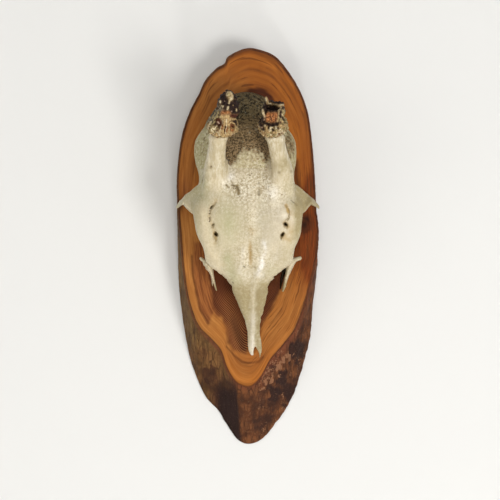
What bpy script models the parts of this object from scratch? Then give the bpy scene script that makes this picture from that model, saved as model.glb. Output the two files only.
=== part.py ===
"""The skull cap of a roe deer with its nasal bones, mounted on an oblique slice of a log on a wall.

Sizes are in millimetres and become metres where a mesh is made. X is to the right of someone who looks
at the trophy, Z is up, towards the back of the head, and Y goes into the wall. The plaque's back lies
in the plane Y = 0. A height is measured from the wall for the plaque, and from the sawn front face of
the plaque for the skull.
"""

import math

import bmesh
import bpy
from mathutils import Vector

MM = 0.001
GAP = 0.3  # between neighbouring solids

# ---------------------------------------------------------------- plaque: driving sizes
PLAQUE_THICK = 18.0
BARK_THICK = 2.4  # measured in the face, so less where the bark slants
BARK_GAP = 0.6
RIM_POINTS = 96  # around each outline

# (x, z) around the sawn front face, clockwise from its top, and around the back face in the same order
FRONT_OUTLINE = (
    (0.9, 121.9), (8.4, 120.4), (16.7, 116.6), (24.6, 107.5), (31.6, 95.8), (36.3, 83.4), (38.6, 69.5),
    (40.3, 52.0), (41.2, 34.4), (42.0, 22.0), (43.3, 9.8), (42.6, -3.0), (41.0, -13.2), (37.6, -27.0),
    (33.7, -40.3), (28.8, -52.0), (21.8, -61.2), (13.4, -70.2), (7.6, -80.2), (2.8, -85.4), (-1.6, -86.4),
    (-7.5, -83.6), (-12.4, -76.4), (-17.3, -64.9), (-22.6, -58.6), (-30.4, -51.0), (-35.2, -41.0),
    (-38.8, -27.2), (-41.0, -11.0), (-42.3, 6.0), (-43.6, 22.0), (-44.3, 38.0), (-43.2, 54.8),
    (-40.6, 70.1), (-35.9, 83.4), (-30.4, 94.0), (-26.8, 101.8), (-20.0, 109.2), (-14.9, 112.4),
    (-12.9, 116.4), (-5.2, 120.6),
)
BACK_OUTLINE = (
    (0.5, 86.0), (12.0, 83.6), (24.5, 71.0), (34.5, 50.0), (39.6, 30.0), (42.4, 8.0), (43.0, -8.0),
    (41.8, -24.0), (39.8, -38.6), (38.2, -56.2), (34.0, -74.8), (27.0, -94.6), (18.4, -108.6),
    (9.4, -119.4), (1.0, -123.4), (-6.6, -120.8), (-14.2, -110.2), (-18.8, -102.6), (-26.6, -94.0),
    (-33.2, -79.8), (-37.6, -64.8), (-41.2, -44.0), (-43.4, -24.0), (-43.8, -4.0), (-43.6, 12.0),
    (-41.0, 32.0), (-35.0, 52.0), (-24.0, 72.4), (-11.5, 83.2),
)

# ---------------------------------------------------------------- skull: driving curves along Z
# Each is a list of (z, value), from the nose at the bottom to the back of the head at the top.
TOP_HEIGHT = (
    (-68, 5.6), (-60, 9.6), (-48, 16.4), (-35, 23.4), (-24, 28.6), (-14, 32.6), (-8, 35.4), (0, 39.0),
    (10, 42.8), (20, 45.2), (30, 46.0), (40, 45.2), (50, 43.6), (60, 41.4), (70, 38.4), (78, 35.0),
    (85, 29.4), (90, 22.4), (92.8, 15.6), (94.0, 9.0),
)
HALF_WIDTH = (
    (-68, 3.4), (-62, 4.3), (-52, 4.0), (-46, 4.8), (-39, 7.2), (-32.5, 9.3), (-27, 11.2), (-24.2, 12.0),
    (-21.4, 13.8), (-18.6, 15.9), (-15.9, 19.4), (-12, 24.2), (-8, 26.4), (-4.9, 26.7), (-1.2, 27.5),
    (2.3, 29.1), (7.7, 31.2), (13.2, 32.2), (18.6, 33.2), (24, 33.4), (31, 31.2), (39, 29.4), (44, 29.8),
    (50, 31.2), (57, 31.8), (63, 31.2), (68, 28.9), (73.4, 24.9), (78, 22.2), (83.5, 18.6), (88, 14.6),
    (91.5, 10.0), (94.0, 3.6),
)
EDGE_HEIGHT = (
    (-68, 4.4), (-60, 7.8), (-48, 13.0), (-35, 17.6), (-24, 21.4), (-14, 25.2), (-6, 29.0), (4, 32.4),
    (16, 34.4), (24, 33.0), (31, 27.6), (38, 21.0), (48, 17.0), (70, 15.0), (86, 11.0), (94.0, 5.0),
)
FOOT_HALF_WIDTH = (
    (-24.2, 9.0), (-16, 15.6), (-10, 21.4), (-6, 19.6), (1, 14.4), (10, 13.0), (20, 14.6), (28, 18.4),
    (36, 23.6), (46, 27.6), (57, 28.8), (68, 25.8), (80, 18.0), (88, 11.6), (94.0, 2.6),
)
UNDER_HEIGHT = ((-24.2, 19.6), (-19, 18.0), (-14, 12.4), (-10, 4.4), (-6.5, 0.0), (94.0, 0.0))
MIDLINE_X = ((-68, 4.4), (-40, 2.3), (-20, 0.6), (0, 0.3), (20, -0.4), (40, -1.1), (60, -2.0), (93, -1.4))
ROOF_POWER = ((-68, 2.0), (-24, 2.0), (10, 2.7), (40, 2.8), (60, 2.3), (94.0, 2.0))  # 2 is an ellipse
WALL_POWER = (
    (-24.2, 1.0), (-12, 0.8), (-7, 1.4), (-2, 3.4), (16, 4.4), (27, 2.0), (38, 0.62), (50, 0.42),
    (94.0, 0.42),
)
WALL_CROWDING = 0.8  # below 1, the wall's steps crowd towards its foot
SKULL_BACK = 94.0
FRONTAL_FRONT = -24.2
ROOF_STEPS = 9
WALL_STEPS = 6
SKULL_STEP = 2.9  # between two rings of the skull
DOME_LENGTH = 14.0  # at the back of the head, where it closes
DOME_RINGS = 7

# the sutures that part it
CORONAL_SUTURE = 46.0
LAMBDOID_SUTURE = 80.0
LAMBDOID_SLOPE = 0.3  # it leans towards the nose as it rises
TEMPORAL_FOOT = 15.0  # where a temporal bone's suture meets the plaque, from the midline
TEMPORAL_SLOPE = 1.05  # how far it runs outwards for each millimetre that it rises
CUT_REACH = 60.0  # how far a cutting plate runs out from the midline, beyond the skull
CUT_HEIGHTS = (-9.0, 70.0)  # of its lower and its upper edge
CUT_MARGIN = 9.0  # how far it passes the skull's ends
SKULL_PARTS = {  # about the middle of each bone's box, (x, z, height)
    "frontal_left": (-22.0, 11.0, 23.0),
    "frontal_right": (22.0, 11.0, 23.0),
    "parietal_bone": (-2.0, 62.0, 22.0),
    "occipital_bone": (-1.5, 84.0, 18.0),
}
TEMPORAL_PARTS = {
    "parietal_bone": (-2.0, 62.0, 22.0),
    "temporal_left": (-27.0, 62.0, 10.0),
    "temporal_right": (24.0, 62.0, 10.0),
}

# nasal bones
NASAL_BACK = -12.6
NASAL_TIP = {-1: -66.8, 1: -68.4}
NASAL_FORK = -60.8
NASAL_THICK = 2.0
NASAL_THINNING = 0.35  # the share of it that is lost towards the outer edge
NASAL_TIP_THICK = 0.45  # the share of it that is left at the tip
NASAL_TIP_X = 2.7  # from the midline
NASAL_HALF_WIDTH = ((-24.2, 10.9), (-20, 8.4), (-16, 5.6), (NASAL_BACK, 2.6))
NASAL_STATIONS = 22
NASAL_STEPS = 7

# bar behind the orbit: (half x, rear z, front z, height, thickness) from its root to its tip
POSTORBITAL_BAR = (
    (22.0, 37.0, 18.0, 37.0, 7.0), (28.0, 38.0, 17.0, 33.4, 6.2), (31.6, 36.4, 17.4, 31.6, 5.0),
    (34.2, 33.4, 19.2, 29.8, 4.2), (36.6, 31.4, 22.2, 27.0, 3.6), (38.6, 29.6, 24.2, 23.6, 3.2),
    (40.6, 27.8, 23.8, 19.4, 2.8), (42.4, 25.8, 22.8, 15.2, 2.4), (43.6, 24.2, 22.4, 12.0, 1.6),
)
BAR_SIDES = 12
# lacrimal bone: (half x, z, height, width, depth) from the knob on the orbit's front rim to the spike's tip
LACRIMAL_PATH = (
    (30.6, -8.4, 19.4, 1.8, 2.6), (28.8, -9.6, 19.8, 2.8, 5.4), (26.6, -10.8, 19.4, 3.6, 9.6),
    (24.6, -13.2, 18.2, 3.6, 11.6), (23.2, -17.0, 15.8, 2.6, 8.0), (21.8, -22.0, 12.4, 1.9, 4.0),
    (20.0, -27.0, 9.6, 1.0, 1.4),
)
LACRIMAL_SIDES = 12
# the nasal cavity under the front of the frontal bones, open downwards and to the front
CAVITY_HALF_WIDTH = ((-32, 6.8), (-24, 6.8), (-16, 11.0), (-9, 10.5), (-5, 7.0))
CAVITY_ROOF_THICK = ((-32, 2.4), (-24, 2.6), (-16, 3.6), (-10, 8.0), (-5, 16.0))
CAVITY_FLOOR = ((-32, 6.0), (-20, 6.0), (-12, 2.6), (-5, 2.0))
CAVITY_STATIONS = 10
CAVITY_STEPS = 8

# pedicles: the bony columns under the antlers, (x, z, height, radius) from root to top
PEDICLES = {
    "left": (
        (-17.6, 24.0, 30.0, 8.4), (-18.3, 33.0, 36.2, 7.5), (-18.7, 43.0, 43.0, 6.3),
        (-18.6, 54.5, 49.9, 5.3), (-17.4, 65.4, 55.4, 5.0),
    ),
    "right": (
        (18.6, 24.0, 30.0, 8.4), (19.3, 33.0, 36.2, 7.5), (19.2, 43.0, 43.0, 6.3),
        (17.7, 54.5, 49.9, 5.1), (15.0, 65.4, 55.4, 5.0),
    ),
}
PEDICLE_SIDES = 20
PEDICLE_STATIONS = 9

# antlers: stubs on a pearled coronet, (x, z, height, radius, lobe depth) from the coronet's underside.
# The right one is broken: its last stations turn back down and make its hollow top.
ANTLER_SIDES = 30
ANTLER_LOBES = {"left": 11, "right": 13}
LOBE_MIX = ((0.6, 0.7), (0.4, 1.4))  # share and turn per station of the fine and of the coarse lobes
COARSE_LOBES = 3
BEND_STATIONS = 3  # within them the antler leaves the pedicle's direction
ANTLERS = {
    "left": (
        (-17.2, 65.9, 55.9, 5.2, 0.1), (-16.4, 67.5, 57.6, 7.2, 0.5), (-15.2, 69.4, 59.6, 8.3, 0.9),
        (-14.4, 71.4, 61.4, 7.9, 1.0), (-13.6, 73.8, 63.2, 6.5, 0.7), (-12.8, 76.8, 65.2, 5.9, 0.5),
        (-12.2, 79.8, 67.2, 5.9, 0.8), (-11.6, 82.8, 69.0, 5.2, 0.9), (-11.0, 85.8, 70.6, 3.9, 0.6),
        (-10.7, 88.2, 71.6, 2.4, 0.3), (-10.6, 89.4, 72.0, 0.9, 0.1),
    ),
    "right": (
        (14.9, 65.9, 55.9, 5.2, 0.1), (14.6, 67.4, 57.2, 7.0, 0.5), (14.6, 69.2, 59.0, 8.0, 0.9),
        (14.5, 71.2, 60.6, 7.6, 1.0), (14.4, 73.4, 62.2, 6.3, 0.7), (14.4, 75.8, 63.9, 5.9, 0.5),
        (14.5, 78.4, 65.6, 6.1, 0.8), (14.6, 80.4, 67.0, 5.9, 0.8), (14.6, 81.2, 67.6, 4.8, 0.5),
        (14.5, 78.8, 66.0, 4.2, 0.3), (14.4, 76.0, 64.2, 3.0, 0.1), (14.4, 74.8, 63.4, 1.4, 0.0),
    ),
}
STUB_AXIS = {"left": (0.2, 0.8, 0.57), "right": (0.02, 0.81, 0.58)}  # (x, z, height) along each stub

MATERIALS = {
    "heartwood": ((0.42, 0.19, 0.07), 0.42, 0.0),
    "bark": ((0.09, 0.055, 0.034), 0.8, 0.0),
    "bone": ((0.70, 0.64, 0.48), 0.5, 0.0),
    "braincase_bone": ((0.48, 0.44, 0.33), 0.62, 0.0),
    "antler": ((0.36, 0.24, 0.13), 0.6, 0.0),
}


def clear_scene():
    for item in list(bpy.data.objects):
        bpy.data.objects.remove(item, do_unlink=True)


def make_materials():
    made = {}
    for name, (colour, roughness, metallic) in MATERIALS.items():
        material = bpy.data.materials.new(name)
        material.use_nodes = True
        shader = material.node_tree.nodes["Principled BSDF"]
        shader.inputs["Base Color"].default_value = (*colour, 1.0)
        shader.inputs["Roughness"].default_value = roughness
        shader.inputs["Metallic"].default_value = metallic
        made[name] = material
    return made


def curve(knots):
    """A smooth function through (position, value) knots that never overshoots them."""
    knots = sorted(knots)
    at = [float(k[0]) for k in knots]
    value = [float(k[1]) for k in knots]
    rise = [(value[i + 1] - value[i]) / (at[i + 1] - at[i]) for i in range(len(at) - 1)]
    slope = [rise[0]]
    for before, after in zip(rise, rise[1:]):
        slope.append(0.0 if before * after <= 0 else 2 * before * after / (before + after))
    slope.append(rise[-1])

    def read(x):
        x = min(max(x, at[0]), at[-1])
        i = max(j for j in range(len(at) - 1) if at[j] <= x)
        span = at[i + 1] - at[i]
        t = (x - at[i]) / span
        return (
            value[i] * (1 + 2 * t) * (1 - t) ** 2
            + slope[i] * span * t * (1 - t) ** 2
            + value[i + 1] * t * t * (3 - 2 * t)
            + slope[i + 1] * span * t * t * (t - 1)
        )

    return read


top_height = curve(TOP_HEIGHT)
half_width = curve(HALF_WIDTH)
edge_height = curve(EDGE_HEIGHT)
foot_half_width = curve(FOOT_HALF_WIDTH)
under_height = curve(UNDER_HEIGHT)
midline_x = curve(MIDLINE_X)
roof_power = curve(ROOF_POWER)
wall_power = curve(WALL_POWER)
nasal_half_width = curve(NASAL_HALF_WIDTH)


def skull_point(x, z, height):
    """A point of the skull: its height is above the plaque's sawn face."""
    return Vector((x, -(PLAQUE_THICK + GAP + height), z)) * MM


def plaque_point(x, z, height):
    """A point of the plaque: its height is above the wall."""
    return Vector((x, -height, z)) * MM


def closed_loop(corners, count):
    """count points, evenly spaced, on a smooth closed curve through the corners."""
    corners = [Vector(c) for c in corners]
    fine = []
    per_side = 24
    for i in range(len(corners)):
        a, b, c, d = (corners[(i + j) % len(corners)] for j in (-1, 0, 1, 2))
        for step in range(per_side):
            t = step / per_side
            fine.append(
                0.5 * (2 * b + (c - a) * t + (2 * a - 5 * b + 4 * c - d) * t * t
                       + (3 * b - a - 3 * c + d) * t**3)
            )
    lengths = [0.0]
    for i in range(len(fine)):
        lengths.append(lengths[-1] + (fine[(i + 1) % len(fine)] - fine[i]).length)
    loop, j = [], 0
    for i in range(count):
        goal = lengths[-1] * i / count
        while lengths[j + 1] < goal:
            j += 1
        share = (goal - lengths[j]) / (lengths[j + 1] - lengths[j])
        loop.append(fine[j].lerp(fine[(j + 1) % len(fine)], share))
    return loop


def inset_loop(loop, depth):
    """The closed loop of (x, z) points moved inwards by depth, or outwards where it is negative."""
    moved = []
    for i, point in enumerate(loop):
        along = (loop[(i + 1) % len(loop)] - loop[i - 1]).normalized()
        moved.append(point + Vector((along.y, -along.x)) * depth)
    return moved


def object_of(name, bm, material):
    bmesh.ops.recalc_face_normals(bm, faces=bm.faces)
    mesh = bpy.data.meshes.new(name)
    bm.to_mesh(mesh)
    bm.free()
    mesh.materials.append(material)
    mesh.shade_smooth()
    mesh.set_sharp_from_angle(angle=math.radians(50))
    made = bpy.data.objects.new(name, mesh)
    bpy.context.collection.objects.link(made)
    return made


def skin_rings(rings):
    """A closed bmesh over equal rings of points, with a flat cap on each end."""
    bm = bmesh.new()
    loops = [[bm.verts.new(p) for p in ring] for ring in rings]
    count = len(loops[0])
    for lower, upper in zip(loops, loops[1:]):
        for i in range(count):
            j = (i + 1) % count
            bm.faces.new((lower[i], lower[j], upper[j], upper[i]))
    bm.faces.new(loops[0])
    bm.faces.new(list(reversed(loops[-1])))
    return bm


def combine(target, tool, operation):
    """Applies a Boolean between two objects and removes the tool."""
    modifier = target.modifiers.new(operation.title(), "BOOLEAN")
    modifier.operation = operation
    modifier.object = tool
    graph = bpy.context.evaluated_depsgraph_get()
    result = bpy.data.meshes.new_from_object(target.evaluated_get(graph))
    target.modifiers.remove(modifier)
    target.data = result
    bpy.data.objects.remove(tool, do_unlink=True)


# ---------------------------------------------------------------- plaque


def plaque_loops():
    front = closed_loop(FRONT_OUTLINE, RIM_POINTS)
    back = closed_loop(BACK_OUTLINE, RIM_POINTS)
    return front, back


def place_loop(bm, loop, height):
    """The vertices of a loop at a height above the wall."""
    return [bm.verts.new(plaque_point(p.x, p.y, height)) for p in loop]


def add_slanted_wall(bm, back, front):
    """The wall between two equal loops, split along the same diagonals on every shell so none cross."""
    for i in range(len(back)):
        j = (i + 1) % len(back)
        bm.faces.new((back[i], back[j], front[j]))
        bm.faces.new((back[i], front[j], front[i]))


def make_plaque_core(material):
    bm = bmesh.new()
    front, back = (inset_loop(loop, BARK_THICK + BARK_GAP) for loop in plaque_loops())
    front, back = place_loop(bm, front, PLAQUE_THICK), place_loop(bm, back, 0.0)
    add_slanted_wall(bm, back, front)
    bm.faces.new(front)
    bm.faces.new(back)
    return object_of("plaque_core", bm, material)


def make_plaque_bark(material):
    """The bark is a thin slanted ring round the core, open at the front and the back face."""
    bm = bmesh.new()
    outer_front, outer_back = plaque_loops()
    inner_front, inner_back = (inset_loop(loop, BARK_THICK) for loop in (outer_front, outer_back))
    outer_front, inner_front = (place_loop(bm, loop, PLAQUE_THICK) for loop in (outer_front, inner_front))
    outer_back, inner_back = (place_loop(bm, loop, 0.0) for loop in (outer_back, inner_back))
    add_slanted_wall(bm, outer_back, outer_front)
    add_slanted_wall(bm, inner_back, inner_front)
    add_slanted_wall(bm, outer_front, inner_front)
    add_slanted_wall(bm, outer_back, inner_back)
    return object_of("plaque_bark", bm, material)


# ---------------------------------------------------------------- skull


def roof_height(x, z):
    """Height of the skull's upper surface, x to the side of its midline."""
    share = min(abs(x) / half_width(z), 1.0)
    power = roof_power(z)
    edge = edge_height(z)
    return edge + (top_height(z) - edge) * (1 - share**power) ** (1 / min(power, 2.0))


def cranium_ring(z, grow=0.0):
    """The outline of the skull at z, from the midline over the roof to an edge, then down to the foot."""
    half, edge, foot, under = half_width(z), edge_height(z), foot_half_width(z), under_height(z)
    side = []
    for i in range(ROOF_STEPS + 1):
        x = half * math.sin(math.pi / 2 * i / ROOF_STEPS)
        side.append((x, roof_height(x, z)))
    for i in range(1, WALL_STEPS + 1):
        share = (1 - i / WALL_STEPS) ** WALL_CROWDING
        side.append((foot + (half - foot) * share ** wall_power(z), under + (edge - under) * share))
    middle = midline_x(z)
    points = [(x, h) for x, h in side] + [(0.0, under)]
    points += [(-x, h) for x, h in reversed(side[1:])]
    ring = []
    for x, h in points:
        away = Vector((x, h - edge * 0.5))
        scale = 1 + grow / max(away.length, 1.0)
        ring.append(skull_point(middle + x * scale, z, max(h + (scale - 1) * (h - edge * 0.5), 0.0)))
    return ring


def skull_stations():
    """Stations from the frontal bones' front edge to the back of the head, closer where the dome closes."""
    count = int((SKULL_BACK - DOME_LENGTH - FRONTAL_FRONT) / SKULL_STEP) + 1
    plain = [FRONTAL_FRONT + SKULL_STEP * i for i in range(count)]
    start = plain[-1]
    turns = [math.pi / 2 * i / DOME_RINGS for i in range(1, DOME_RINGS + 1)]
    return plain + [start + (SKULL_BACK - start) * math.sin(turn) for turn in turns]


def make_cranium(material, grow=0.0):
    rings = [cranium_ring(z, grow) for z in skull_stations()]
    return object_of("cranium", skin_rings(rings), material)


def make_postorbital_bar(side, material, grow=0.0):
    """A flat tapering bar that leaves the frontal bone behind the orbit and bends down to the plaque."""
    rings = []
    for x, rear, front, height, thick in POSTORBITAL_BAR:
        middle = (rear + front) / 2
        reach = (rear - front) / 2 + grow
        thick = thick + 2 * grow
        ring = []
        for i in range(BAR_SIDES):
            angle = 2 * math.pi * i / BAR_SIDES
            ring.append(
                skull_point(
                    midline_x(middle) + side * x,
                    middle + reach * math.cos(angle),
                    height + thick / 2 * math.sin(angle),
                )
            )
        rings.append(ring)
    return object_of("postorbital_bar", skin_rings(rings), material)


def nasal_cavity_cutter(material):
    """The space under the nose: an arch that follows the skull's roof from below."""
    half, thick, floor = (curve(knots) for knots in (CAVITY_HALF_WIDTH, CAVITY_ROOF_THICK, CAVITY_FLOOR))
    front, back = CAVITY_FLOOR[0][0], CAVITY_FLOOR[-1][0]
    rings = []
    for i in range(CAVITY_STATIONS + 1):
        z = front + (back - front) * i / CAVITY_STATIONS
        middle, arch, base = midline_x(z), [], []
        for step in range(CAVITY_STEPS + 1):
            x = half(z) * (2 * step / CAVITY_STEPS - 1)
            arch.append(skull_point(middle + x, z, roof_height(x, z) - thick(z)))
            base.append(skull_point(middle + x * 0.9, z, floor(z)))
        rings.append(arch + base[::-1])
    return object_of("cavity_cutter", skin_rings(rings), material)


def suture_cutter(material):
    """A prism over the nasal bones' back ends, a gap wider than they are: the frontal bone's notch."""
    bm = bmesh.new()
    steps = 6
    reach = FRONTAL_FRONT - 2.0
    edge = []
    for i in range(steps + 1):
        z = NASAL_BACK + (FRONTAL_FRONT - NASAL_BACK) * i / steps
        edge.append((nasal_half_width(z) + GAP, z))
    edge.append((nasal_half_width(FRONTAL_FRONT) + 2.0, reach))
    outline = [(x, z) for x, z in edge] + [(-x, z) for x, z in reversed(edge)]
    outline = [(0.0, NASAL_BACK + GAP)] + outline
    loops = []
    for height in (4.0, 50.0):
        loops.append([bm.verts.new(skull_point(midline_x(z) + x, z, height)) for x, z in outline])
    for i in range(len(outline)):
        j = (i + 1) % len(outline)
        bm.faces.new((loops[0][i], loops[0][j], loops[1][j], loops[1][i]))
    bm.faces.new(loops[0])
    bm.faces.new(loops[1])
    return object_of("suture_cutter", bm, material)


def suture_slab(corners, material):
    """A thin plate through three corners of a rectangle, as thick as the gap between two bones."""
    a, b, c = (Vector(corner) for corner in corners)
    half_gap = (b - a).cross(c - b).normalized() * (GAP / 2)
    bm = bmesh.new()
    loops = []
    for shift in (-half_gap, half_gap):
        sheet = [a + shift, b + shift, c + shift, a + c - b + shift]
        loops.append([bm.verts.new(skull_point(p.x, p.y, p.z)) for p in sheet])
    for i in range(4):
        j = (i + 1) % 4
        bm.faces.new((loops[0][i], loops[0][j], loops[1][j], loops[1][i]))
    bm.faces.new(loops[0])
    bm.faces.new(loops[1])
    return object_of("suture_slab", bm, material)


def midline_slab(material):
    """The suture between the two frontal bones: a thin plate that follows the midline's bend."""
    bm = bmesh.new()
    steps = 8
    outline = []
    for i in range(steps + 1):
        z = FRONTAL_FRONT - 6.0 + (CORONAL_SUTURE - FRONTAL_FRONT + 6.0) * i / steps
        outline.append((midline_x(z), z))
    outline = [(x - GAP / 2, z) for x, z in outline] + [(x + GAP / 2, z) for x, z in reversed(outline)]
    loops = [[bm.verts.new(skull_point(x, z, height)) for x, z in outline] for height in (-10.0, 60.0)]
    for i in range(len(outline)):
        j = (i + 1) % len(outline)
        bm.faces.new((loops[0][i], loops[0][j], loops[1][j], loops[1][i]))
    bm.faces.new(loops[0])
    bm.faces.new(loops[1])
    return object_of("midline_slab", bm, material)


def part_with(whole, cutters, places):
    """Cuts an object with thin plates and names each piece by the nearest of the given places."""
    for cutter in cutters:
        combine(whole, cutter, "DIFFERENCE")
    bpy.context.view_layer.objects.active = whole
    whole.select_set(True)
    bpy.ops.mesh.separate(type="LOOSE")
    pieces = {}
    for piece in list(bpy.context.selected_objects):
        centre = sum((Vector(corner) for corner in piece.bound_box), Vector()) / 8
        name = min(places, key=lambda key: (skull_point(*places[key]) - centre).length)
        piece.name = name
        piece.select_set(False)
        pieces[name] = piece
    return pieces


def make_skull(materials):
    """The frontal bones and the braincase, modelled as one shape and parted along their sutures."""
    bone = materials["bone"]
    skull = make_cranium(bone)
    for side in (-1, 1):
        combine(skull, make_postorbital_bar(side, bone), "UNION")
    combine(skull, nasal_cavity_cutter(bone), "DIFFERENCE")
    combine(skull, suture_cutter(bone), "DIFFERENCE")
    wide, (low, high) = CUT_REACH, CUT_HEIGHTS
    slabs = [midline_slab(bone)]
    for suture, slope in ((CORONAL_SUTURE, 0.0), (LAMBDOID_SUTURE, LAMBDOID_SLOPE)):
        foot_z, top_z = (suture - h * slope for h in (low, high))
        slabs.append(suture_slab(((-wide, foot_z, low), (wide, foot_z, low), (wide, top_z, high)), bone))
    pieces = part_with(skull, slabs, SKULL_PARTS)
    slabs = []
    for side in (-1, 1):
        foot = midline_x(TEMPORAL_PARTS["parietal_bone"][1]) + side * TEMPORAL_FOOT
        out, rim_height = foot + side * wide, wide / TEMPORAL_SLOPE
        corners = (
            (foot, CORONAL_SUTURE, -1.0), (out, CORONAL_SUTURE, rim_height),
            (out, SKULL_BACK + CUT_MARGIN, rim_height),
        )
        slabs.append(suture_slab(corners, bone))
    pieces.update(part_with(pieces["parietal_bone"], slabs, TEMPORAL_PARTS))
    for name, piece in pieces.items():
        if not name.startswith("frontal"):
            piece.data.materials.clear()
            piece.data.materials.append(materials["braincase_bone"])


def nasal_edges(z, side):
    """How far the inner and the outer edge of one nasal bone are from the skull's midline at z."""
    inner, outer = GAP / 2, nasal_half_width(max(z, FRONTAL_FRONT))
    if z <= FRONTAL_FRONT:
        outer = min(half_width(z), outer)
    if z < NASAL_FORK:
        share = (NASAL_FORK - z) / (NASAL_FORK - NASAL_TIP[side])
        inner += (NASAL_TIP_X - 0.5 - inner) * min(share * 1.6, 1.0)
        outer += (NASAL_TIP_X + 0.1 - outer) * share**2.2
    return inner, outer


def make_nasal(name, side, material):
    """One nasal bone: a thin arched plate, pointed at its back end and at its tip."""
    rings = []
    tip = NASAL_TIP[side]
    for i in range(NASAL_STATIONS + 1):
        z = NASAL_BACK + (tip - NASAL_BACK) * i / NASAL_STATIONS
        inner, outer = nasal_edges(z, side)
        from_tip = min((z - tip) / (NASAL_FORK - tip), 1.0)
        thick = NASAL_THICK * (NASAL_TIP_THICK + (1 - NASAL_TIP_THICK) * from_tip)
        upper, lower = [], []
        for j in range(NASAL_STEPS + 1):
            share = j / NASAL_STEPS
            x = inner + (outer - inner) * share
            height = roof_height(x, z)
            thinning = 1 - NASAL_THINNING * share**2
            upper.append(skull_point(midline_x(z) + side * x, z, height))
            lower.append(skull_point(midline_x(z) + side * x, z, max(height - thick * thinning, 0.6)))
        rings.append(upper + lower[::-1])
    return object_of(name, skin_rings(rings), material)


def make_lacrimal(name, side, material):
    """What is left of the lacrimal bone: a knob on the orbit's front rim that runs out into a spike.

    Its inner side is cut to the frontal bone's wall, a gap away from it.
    """
    path = [Vector((side * x, z, h)) for x, z, h, _, _ in LACRIMAL_PATH]
    rings = []
    for i, (x, z, height, width, depth) in enumerate(LACRIMAL_PATH):
        along = path[min(i + 1, len(path) - 1)] - path[max(i - 1, 0)]
        across = Vector((along.y, -along.x, 0)).normalized()
        ring = []
        for step in range(LACRIMAL_SIDES):
            angle = 2 * math.pi * step / LACRIMAL_SIDES
            shift = across * (width / 2 * math.cos(angle))
            ring.append(
                skull_point(
                    midline_x(z) + side * x + shift.x, z + shift.y, height + depth / 2 * math.sin(angle)
                )
            )
        rings.append(ring)
    lacrimal = object_of(name, skin_rings(rings), material)
    combine(lacrimal, make_cranium(material, grow=GAP), "DIFFERENCE")
    return lacrimal


def spline_through(points, share):
    """A point on the smooth curve through 4-number stations, share of the way along."""
    columns = [curve([(i, p[c]) for i, p in enumerate(points)]) for c in range(4)]
    return [column(share * (len(points) - 1)) for column in columns]


def axis_frame(direction):
    """Two unit vectors square to the direction: the first points to the right, the second to the front."""
    direction = direction.normalized()
    front = Vector((0, -1, 0))
    right = direction.cross(front).normalized()
    return right, right.cross(direction).normalized()


def make_pedicle(name, side, path, material):
    """The column under an antler, cut off a gap above the frontal bone."""
    rings = []
    for i in range(PEDICLE_STATIONS + 1):
        share = i / PEDICLE_STATIONS
        x, z, height, radius = spline_through(path, share)
        ahead = spline_through(path, min(share + 0.02, 1.0))
        behind = spline_through(path, max(share - 0.02, 0.0))
        centre = skull_point(x, z, height)
        direction = skull_point(*ahead[:3]) - skull_point(*behind[:3])
        right, front = axis_frame(direction)
        ring = []
        for step in range(PEDICLE_SIDES):
            angle = 2 * math.pi * step / PEDICLE_SIDES
            ring.append(centre + (right * math.cos(angle) + front * math.sin(angle)) * (radius * MM))
        rings.append(ring)
    pedicle = object_of(name, skin_rings(rings), material)
    combine(pedicle, make_cranium(material, grow=GAP), "DIFFERENCE")
    combine(pedicle, make_postorbital_bar(side, material, grow=GAP), "DIFFERENCE")
    return pedicle


def make_antler(name, side, material):
    """A short stub on its coronet, lofted square to an axis that bends off the pedicle's."""
    below, top = (Vector(point[:3]) for point in PEDICLES[side][-2:])
    pedicle_axis, stub_axis = (top - below).normalized(), Vector(STUB_AXIS[side]).normalized()
    rings = []
    for i, (x, z, height, radius, lobe) in enumerate(ANTLERS[side]):
        direction = pedicle_axis.lerp(stub_axis, min(i / BEND_STATIONS, 1.0))
        right, front = axis_frame(Vector((direction.x, -direction.z, direction.y)))
        ring = []
        for step in range(ANTLER_SIDES):
            angle = 2 * math.pi * step / ANTLER_SIDES
            reach = radius
            for count, (share, turn) in zip((ANTLER_LOBES[side], COARSE_LOBES), LOBE_MIX):
                reach += lobe * share * math.sin(count * angle + turn * i)
            outward = right * math.cos(angle) + front * math.sin(angle)
            ring.append(skull_point(x, z, height) + outward * (reach * MM))
        rings.append(ring)
    return object_of(name, skin_rings(rings), material)


def main():
    clear_scene()
    materials = make_materials()
    make_plaque_core(materials["heartwood"])
    make_plaque_bark(materials["bark"])
    make_skull(materials)
    for name, side in (("left", -1), ("right", 1)):
        make_nasal("nasal_" + name, side, materials["bone"])
        make_lacrimal("lacrimal_" + name, side, materials["bone"])
        make_pedicle("pedicle_" + name, side, PEDICLES[name], materials["bone"])
        make_antler("antler_" + name, name, materials["antler"])


main()
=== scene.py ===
"""A roe deer skull cap with its nasal bones on an oblique slice of log, as it hangs on a wall.

Sizes are in millimetres and become metres where a mesh is made. X is to the right, Z is up, towards
the back of the head, and Y goes into the wall. A skull height is measured from the skull's foot, which
is SKULL_GAP in front of the sawn face.
"""

import itertools
import math

import bmesh
import bpy
import numpy as np
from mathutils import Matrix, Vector
from mathutils.kdtree import KDTree


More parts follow.
